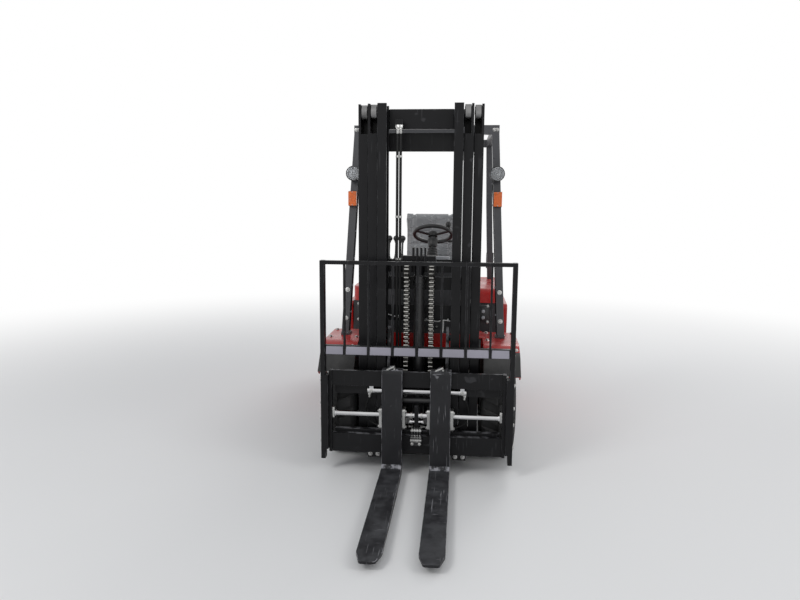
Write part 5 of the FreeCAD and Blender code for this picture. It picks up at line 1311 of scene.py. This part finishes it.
for sign in (1, -1):
    block(dark, (sign * 0.372, -0.244, 0.862), (sign * 0.432, -0.206, 0.950), 0.004)
    block(dark, (sign * 0.362, -0.232, 0.846), (sign * 0.440, -0.226, 0.966), 0.0015)
    for z in (0.884, 0.926):
        turned(pod, [(0.0, 0.0), (0.0, 0.0115), (0.003, 0.0115), (0.005, 0.009), (0.009, 0.0085), (0.010, 0.0)],
               (sign * 0.402, -0.244, z), FORWARD, 24)
    for z in (0.853, 0.959):
        hex_bolt(screws, (sign * 0.430, -0.232, z), FORWARD, 0.011, 0.005)
piece("instrument_pod", pod, "chassis", light_panel)
piece("dash_switches", dark, "chassis", plastic_black)
piece("cowl_cover", plate, "chassis", plastic_grey)
piece("cowl_screws", screws, "chassis", zinc)

# %% Levers, column, wheel and pedals
boots, caps = bmesh.new(), bmesh.new()
for i in range(4):
    foot = Vector((-0.150 - 0.045 * i, -0.120, 1.232))
    knob = Vector((foot.x, -0.070, 1.390))
    way = (knob - foot).normalized()
    folds = [(0.002, 0.0), (0.002, 0.0175)]
    for j in range(5):
        folds += [(0.006 + j * 0.009, 0.0165 - j * 0.0016), (0.0105 + j * 0.009, 0.0128 - j * 0.0016)]
    turned(boots, folds + [(0.056, 0.0078), (0.057, 0.0)], foot, way, 28)
    turned(boots, [(-0.030, 0.0), (-0.030, 0.0082), (-0.022, 0.0108), (-0.017, 0.0112), (-0.014, 0.0)],
           knob, way, 24)
    turned(caps, [(0.0165, 0.0), (0.0165, 0.0094), (0.0188, 0.0088), (0.0200, 0.0050), (0.0202, 0.0)],
           knob, way, 24)
piece("lever_boots", boots, "chassis", floor_rubber)
piece("lever_caps", caps, "chassis", light_panel)

WHEEL = Vector((0.042, 0.270, 1.406))
WHEEL_UP = Vector((0, math.sin(math.radians(28)), math.cos(math.radians(28))))
WHEEL_BACK = Vector((0, WHEEL_UP.z, -WHEEL_UP.y))
column = bmesh.new()
folds = [(0.118, 0.0), (0.118, 0.033)]
for i in range(7):
    folds += [(0.124 + i * 0.020, 0.0365 + i * 0.002), (0.134 + i * 0.020, 0.0315 + i * 0.002)]
turned(column, folds + [(0.268, 0.047), (0.272, 0.047), (0.272, 0.0)], WHEEL, -WHEEL_UP, 36)
turned(column, [(0.036, 0.0), (0.036, 0.034), (0.044, 0.038), (0.092, 0.034), (0.104, 0.026), (0.104, 0.0)],
       WHEEL, -WHEEL_UP, 36)
stalk = WHEEL - WHEEL_UP * 0.068
rod(column, stalk, stalk + Vector((0.115, 0.012, 0.010)), 0.0045, 0.001, 16)
turned(column, [(0.112, 0.0), (0.112, 0.006), (0.118, 0.0085), (0.142, 0.0085), (0.148, 0.006), (0.149, 0.0)],
       stalk, Vector((0.115, 0.012, 0.010)).normalized(), 20)
piece("column_boot", column, "chassis", plastic_black)

spinner = bmesh.new()
turned(spinner, [(0.0085, 0.0), (0.0085, 0.0315), (0.0115, 0.031), (0.0145, 0.024), (0.0155, 0.010),
                 (0.0155, 0.0)], WHEEL, WHEEL_UP, 40)
grip = WHEEL + Vector((0.112, 0, 0)) - WHEEL_BACK * 0.078
turned(spinner, [(-0.016, 0.0), (-0.016, 0.014), (-0.010, 0.0165), (0.010, 0.0165), (0.0145, 0.013),
                 (0.0155, 0.007), (0.022, 0.007), (0.024, 0.014), (0.034, 0.0205), (0.046, 0.0215),
                 (0.054, 0.018), (0.058, 0.010), (0.059, 0.0)], grip, WHEEL_UP, 32)
piece("wheel_spinner", spinner, "steering_wheel", plastic_black)

ribs = bmesh.new()
pedal_lean = Matrix.Rotation(-math.atan2(0.036, 0.072), 3, "X")
for x, width in ((-0.070, 0.070), (-0.200, 0.090)):
    for i in range(7):
        share = (i + 0.5) / 7
        y, z = -0.104 + 0.036 * share + 0.0010, 0.670 + 0.072 * share - 0.0005
        block(ribs, (x - width / 2 + 0.005, y - 0.0016, z - 0.0028), (x + width / 2 - 0.005, y + 0.0016, z + 0.0028),
              0.0008, pedal_lean)
block(ribs, (-0.360, -0.058, 0.6115), (0.360, 0.336, 0.6150), 0.001)
for i in range(30):
    y = -0.048 + i * 0.0128
    block(ribs, (-0.352, y, 0.6145), (0.352, y + 0.0055, 0.6180), 0.0012, segments=1)
piece("mat_and_pedal_ribs", ribs, "chassis", floor_rubber)
print("cabin pieces made")

# %% [markdown]
# ## Body work
#
# Big painted panels look empty without the things that hold them: bolts on the fenders, raised
# tread on the steps, a vent with slats, a latch, and eyes and reflectors on the casting.

# %% Steps, fenders and side panels
tread = bmesh.new()
for sign in (1, -1):
    for row in range(15):
        for column_number in range(7):
            place = Matrix.Translation((sign * (0.483 + column_number * 0.018), 0.089 + row * 0.0185, 0.3463))
            lean = Matrix.Rotation(math.radians(45 if (row + column_number) % 2 else -45), 4, "Z")
            made = bmesh.ops.create_cone(tread, cap_ends=True, segments=8, radius1=1, radius2=0.62, depth=1,
                                         matrix=place @ lean @ Matrix.Diagonal((0.0105, 0.0032, 0.0026, 1)))
piece("step_tread", tread, "chassis", frame_grey, angle=20)

FLAP_TOP_Z, FLAP_THICK = 0.712, 0.004
flaps = bmesh.new()
flaps.from_mesh(nodes["fenders"].data)
bmesh.ops.remove_doubles(flaps, verts=flaps.verts, dist=0.01 * MM)
bmesh.ops.bisect_plane(flaps, geom=flaps.verts[:] + flaps.edges[:] + flaps.faces[:],
                       plane_co=(0, 0, FLAP_TOP_Z), plane_no=(0, 0, 1), clear_outer=True)
others = [face for face in flaps.faces
          if not (face.normal.y < -0.35 and face.normal.z > 0.3 and face.calc_center_median().y < -0.5)]
bmesh.ops.delete(flaps, geom=others, context="FACES")
bmesh.ops.dissolve_limit(flaps, angle_limit=math.radians(0.6), verts=flaps.verts, edges=flaps.edges)
skin = [(vert, vert.normal.copy()) for vert in flaps.verts]
raised = bmesh.ops.extrude_face_region(flaps, geom=flaps.faces[:], use_keep_orig=True)
flaps.normal_update()
for vert in [item for item in raised["geom"] if isinstance(item, bmesh.types.BMVert)]:
    near = min(skin, key=lambda pair: (pair[0].co - vert.co).length)
    vert.co = vert.co + near[1] * FLAP_THICK
print("flap faces", len(flaps.faces))
piece("fender_flaps", flaps, "chassis", floor_rubber)

bolts, slats, vents = bmesh.new(), bmesh.new(), bmesh.new()
for sign in (1, -1):
    bolts_on(bolts, "fenders", [(sign * x, -1.2, 0.697) for x in (0.430, 0.510, 0.590)], (0, 1, 0), 0.013, 0.009)
    bolts_on(bolts, "fenders", [(sign * x, y, 1.2) for x in (0.430, 0.602) for y in (-0.500, -0.330, -0.085)],
             (0, 0, -1), 0.017, 0.008)
    screws_on(bolts, "side_panels", [(sign * 0.9, y, z) for y in (0.420, 0.680, 0.960) for z in (0.300, 0.845)],
              (-sign, 0, 0), 0.0085)
    low_x, high_x = sorted((sign * 0.5975, sign * 0.6008))
    block(vents, (low_x, 0.520, 0.640), (high_x, 0.840, 0.784), 0.0014)
    for i in range(8):
        low_x, high_x = sorted((sign * 0.5990, sign * 0.6040))
        block(slats, (low_x, 0.526, 0.646 + i * 0.017), (high_x, 0.834, 0.655 + i * 0.017), 0.0016,
              Matrix.Rotation(math.radians(-sign * 24), 3, "Y"))
piece("body_bolts", bolts, "chassis", zinc)
piece("vent_plates", vents, "chassis", plastic_black)
piece("vent_slats", slats, "chassis", body_red)

# %% Counterweight fittings
eyes, dark, reflectors = bmesh.new(), bmesh.new(), bmesh.new()
casting = surface("counterweight")
for sign in (1, -1):
    place, normal = casting.ray_cast(Vector((sign * 0.340, 1.250, 1.5)), Vector((0, 0, -1)))[:2]
    turned(eyes, [(-0.002, 0.0), (-0.002, 0.040), (0.004, 0.040), (0.006, 0.036), (0.006, 0.021), (0.001, 0.019),
                  (0.001, 0.0)], place, normal, 36)
    place, normal = casting.ray_cast(Vector((sign * 0.420, 2.6, 0.790)), Vector((0, -1, 0)))[:2]
    turned(dark, [(-0.004, 0.0), (-0.004, 0.040), (0.003, 0.040), (0.005, 0.037), (0.005, 0.0)], place, normal, 36)
    turned(reflectors, [(0.004, 0.0), (0.004, 0.034), (0.006, 0.034), (0.008, 0.028), (0.009, 0.0)], place,
           normal, 36)
    for z in (0.290, 0.850):
        place, normal = casting.ray_cast(Vector((sign * 0.200, 2.6, z)), Vector((0, -1, 0)))[:2]
        turned(dark, [(-0.006, 0.0), (-0.006, 0.024), (0.002, 0.024), (0.004, 0.022), (0.004, 0.012),
                      (-0.003, 0.011), (-0.003, 0.0)], place, normal, 32)
turned(dark, [(0.0, 0.0), (0.0, 0.0205), (0.004, 0.0215), (0.012, 0.0215), (0.016, 0.018), (0.0165, 0.0)],
       (0, 1.830, 0.4035), Z_DIR, 28)
piece("lifting_eyes", eyes, "chassis", casting_red)
piece("casting_plugs", dark, "chassis", axle_iron)
piece("rear_reflectors", reflectors, "chassis", red_lens)

# %% Hood latch, seat boot, slide bar and belt buckle
dark, bright, button = bmesh.new(), bmesh.new(), bmesh.new()
block(dark, (-0.070, 0.3375, 0.925), (0.070, 0.3420, 0.972), 0.0020)
block(dark, (-0.052, 0.3310, 0.938), (0.052, 0.3380, 0.957), 0.0030)
for z in (1.004, 1.022, 1.040):
    block(dark, (-0.2225, 0.5825, z), (0.2225, 1.0075, z + 0.013), 0.0055, segments=3)
block(dark, (0.2445, 0.9250, 1.0610), (0.2860, 0.9850, 1.1350), 0.006, segments=3)
block(dark, (-0.2570, 0.9560, 1.0000), (-0.2500, 0.9740, 1.1520), 0.002)
block(dark, (-0.2680, 0.9450, 1.1480), (-0.2400, 0.9850, 1.2020), 0.005, segments=3)
block(button, (-0.2620, 0.9520, 1.2000), (-0.2460, 0.9780, 1.2045), 0.0012)
swept(bright, [(-0.140, 0.600, 1.046), (-0.140, 0.540, 1.046), (-0.132, 0.522, 1.046), (0.132, 0.522, 1.046),
               (0.140, 0.540, 1.046), (0.140, 0.600, 1.046)], 0.0052, 3, 10)
for x in (-0.058, 0.058):
    pan_head(bright, (x, 0.3378, 0.9485), FORWARD, 0.0045)
piece("hood_latch_and_boot", dark, "hood", plastic_black)
piece("seat_slide_bar", bright, "hood", chrome)
piece("belt_button", button, "hood", red_lens)
print("body pieces made")

# %% [markdown]
# ## Seat
#
# The seat is foam under vinyl, and the foam pushes the cover out everywhere except at its seams.
# Blender's cloth, blown up a little with pressure, gives exactly that crown. The start shape is
# the CAD cushion, made smaller so that it can swell, and rebuilt from even small faces first.


# %% Cloth settings
def swollen(mesh, pressure, frames=18, cap=0.012):
    """The mesh after a short cloth simulation under pressure; no point moves further than cap."""
    obj = bpy.data.objects.new("pad_in_work", mesh)
    bpy.context.scene.collection.objects.link(obj)
    cloth = obj.modifiers.new("cloth", "CLOTH")
    cloth.settings.use_pressure = True
    cloth.settings.uniform_pressure_force = pressure
    cloth.settings.effector_weights.gravity = 0
    cloth.settings.quality = 5
    cloth.settings.tension_stiffness = 12
    cloth.settings.compression_stiffness = 12
    cloth.settings.shear_stiffness = 8
    cloth.settings.bending_stiffness = 0.6
    cloth.point_cache.frame_start, cloth.point_cache.frame_end = 1, frames
    for frame_number in range(1, frames + 1):
        bpy.context.scene.frame_set(frame_number)
    result = bpy.data.meshes.new_from_object(obj.evaluated_get(bpy.context.evaluated_depsgraph_get()))
    moved = 0
    for before, after in zip(mesh.vertices, result.vertices):
        shift = after.co - before.co
        if shift.length > cap:
            after.co = before.co + shift.normalized() * cap
        moved = max(moved, shift.length)
    bpy.data.objects.remove(obj)
    bpy.context.scene.frame_set(1)
    print("cloth moved up to mm", round(moved * 1000, 1))
    return result


def evened(bm, voxel):
    """A bmesh as one skin of small, even faces."""
    mesh = bpy.data.meshes.new("even")
    bm.to_mesh(mesh)
    bm.free()
    obj = bpy.data.objects.new("even", mesh)
    bpy.context.scene.collection.objects.link(obj)
    remesh = obj.modifiers.new("remesh", "REMESH")
    remesh.mode = "VOXEL"
    remesh.voxel_size = voxel
    result = bpy.data.meshes.new_from_object(obj.evaluated_get(bpy.context.evaluated_depsgraph_get()))
    bpy.data.objects.remove(obj)
    return result


def pad(name, node, shrink, seams, material, body, pressure=4.0, voxel=0.007, cap=0.012):
    """A cushion in the place of a CAD pad; seams are (function of a point, depth, width)."""
    bm = bmesh.new()
    bm.from_mesh(nodes[node].data)
    bmesh.ops.remove_doubles(bm, verts=bm.verts, dist=0.01 * MM)
    bmesh.ops.dissolve_limit(bm, angle_limit=math.radians(0.6), verts=bm.verts, edges=bm.edges)
    low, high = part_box(node)
    centre, size = (low + high) / 2, high - low
    for vert in bm.verts:
        vert.co = centre + Vector([(vert.co[i] - centre[i]) * (1 - 2 * shrink / size[i]) for i in range(3)])
    bevel(bm, bm.edges[:], 0.022, 3)
    mesh = evened(bm, voxel)
    mesh = swollen(mesh, pressure, cap=cap)
    normals = [vert.normal.copy() for vert in mesh.vertices]
    for vert, normal in zip(mesh.vertices, normals):
        for distance, depth, width in seams:
            away = distance(vert.co, normal)
            if away is not None:
                vert.co -= normal * depth * math.exp(-(away / width) ** 2)
        vert.co = Vector([min(max(vert.co[i], low[i]), high[i]) for i in range(3)])
    obj = bpy.data.objects.new(name, mesh)
    bpy.context.scene.collection.objects.link(obj)
    mesh.materials.clear()
    mesh.materials.append(material)
    mesh.shade_smooth()
    finer = obj.modifiers.new("smooth", "SUBSURF")
    finer.levels = finer.render_levels = 1
    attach(obj, body)
    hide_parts(node)
    print(name, "faces", len(mesh.polygons))
    return obj


# %% Vinyl and packing film
seat_vinyl = finish("seat_vinyl", (0.028, 0.028, 0.030), tone=0.8, rough=(0.40, 0.55), dust=0.12,
                    dust_colour=(0.14, 0.14, 0.14), rub_and_sheen=0.0, grain_size=0.9, bump=0.35)


def film_over_vinyl():
    """Clear packing film on dark vinyl: pale where it wrinkles and in soft clouds, a painted sheen of the light it
    catches.
    """
    material = bpy.data.materials.new("film_over_vinyl")
    material.use_nodes = True
    tree = material.node_tree
    shader = tree.nodes["Principled BSDF"]
    folds = noise(tree, 9, 3, 0.5, stretch=(1, 1, 2.6))
    ridges = step(tree, calc(tree, "ABSOLUTE", calc(tree, "SUBTRACT", folds, 0.5)), 0.045, 0.0)
    cloudy = step(tree, noise(tree, 5, 3, 0.5), 0.15, 0.90)
    # The pale ridges and clouds are painted sheen; the grey beneath is the film's own tone.
    film_sheen_mask = calc(tree, "ADD", calc(tree, "MULTIPLY", ridges, 0.30), calc(tree, "MULTIPLY", cloudy, 0.6), True)
    tone = mix_colour(tree, film_sheen_mask, (0.15, 0.155, 0.16), (0.40, 0.41, 0.42))
    tree.links.new(tone, shader.inputs["Base Color"])
    rough = tree.nodes.new("ShaderNodeMapRange")
    rough.inputs["To Min"].default_value = 0.10
    rough.inputs["To Max"].default_value = 0.30
    tree.links.new(cloudy, rough.inputs["Value"])
    tree.links.new(rough.outputs[0], shader.inputs["Roughness"])
    wrinkles = tree.nodes.new("ShaderNodeBump")
    wrinkles.inputs["Strength"].default_value = 0.7
    wrinkles.inputs["Distance"].default_value = 0.006
    tree.links.new(calc(tree, "ADD", ridges, folds), wrinkles.inputs["Height"])
    tree.links.new(wrinkles.outputs[0], shader.inputs["Normal"])
    return material


seat_film = film_over_vinyl()

# %% Cushion and back with their sewn channels
cushion_low, cushion_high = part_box("seat_cushion")
back_low, back_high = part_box("seat_back")
BOLSTER_X = 0.150


def bolster_seam(point, normal):
    return abs(abs(point.x) - BOLSTER_X) if normal.z > 0.3 or normal.y < -0.3 else None


def cushion_channel(offset):
    def distance(point, normal):
        if normal.z > 0.5 and abs(point.x) < BOLSTER_X:
            return abs(point.y - (cushion_low.y + offset))
    return distance


def back_channel(offset):
    def distance(point, normal):
        if normal.y < -0.3 and abs(point.x) < BOLSTER_X:
            return abs(point.z - (back_low.z + offset))
    return distance


def cushion_welt(point, normal):
    return abs(point.z - (cushion_low.z + 0.062))


pad("seat_cushion_pad", "seat_cushion", 0.010,
    [(bolster_seam, 0.010, 0.008), (cushion_welt, 0.004, 0.005)]
    + [(cushion_channel(offset), 0.007, 0.008) for offset in (0.12, 0.21, 0.30)],
    seat_vinyl, "hood")
pad("seat_back_pad", "seat_back", 0.010,
    [(bolster_seam, 0.010, 0.008)]
    + [(back_channel(offset), 0.007, 0.008) for offset in (0.10, 0.20, 0.30)],
    seat_film, "hood")
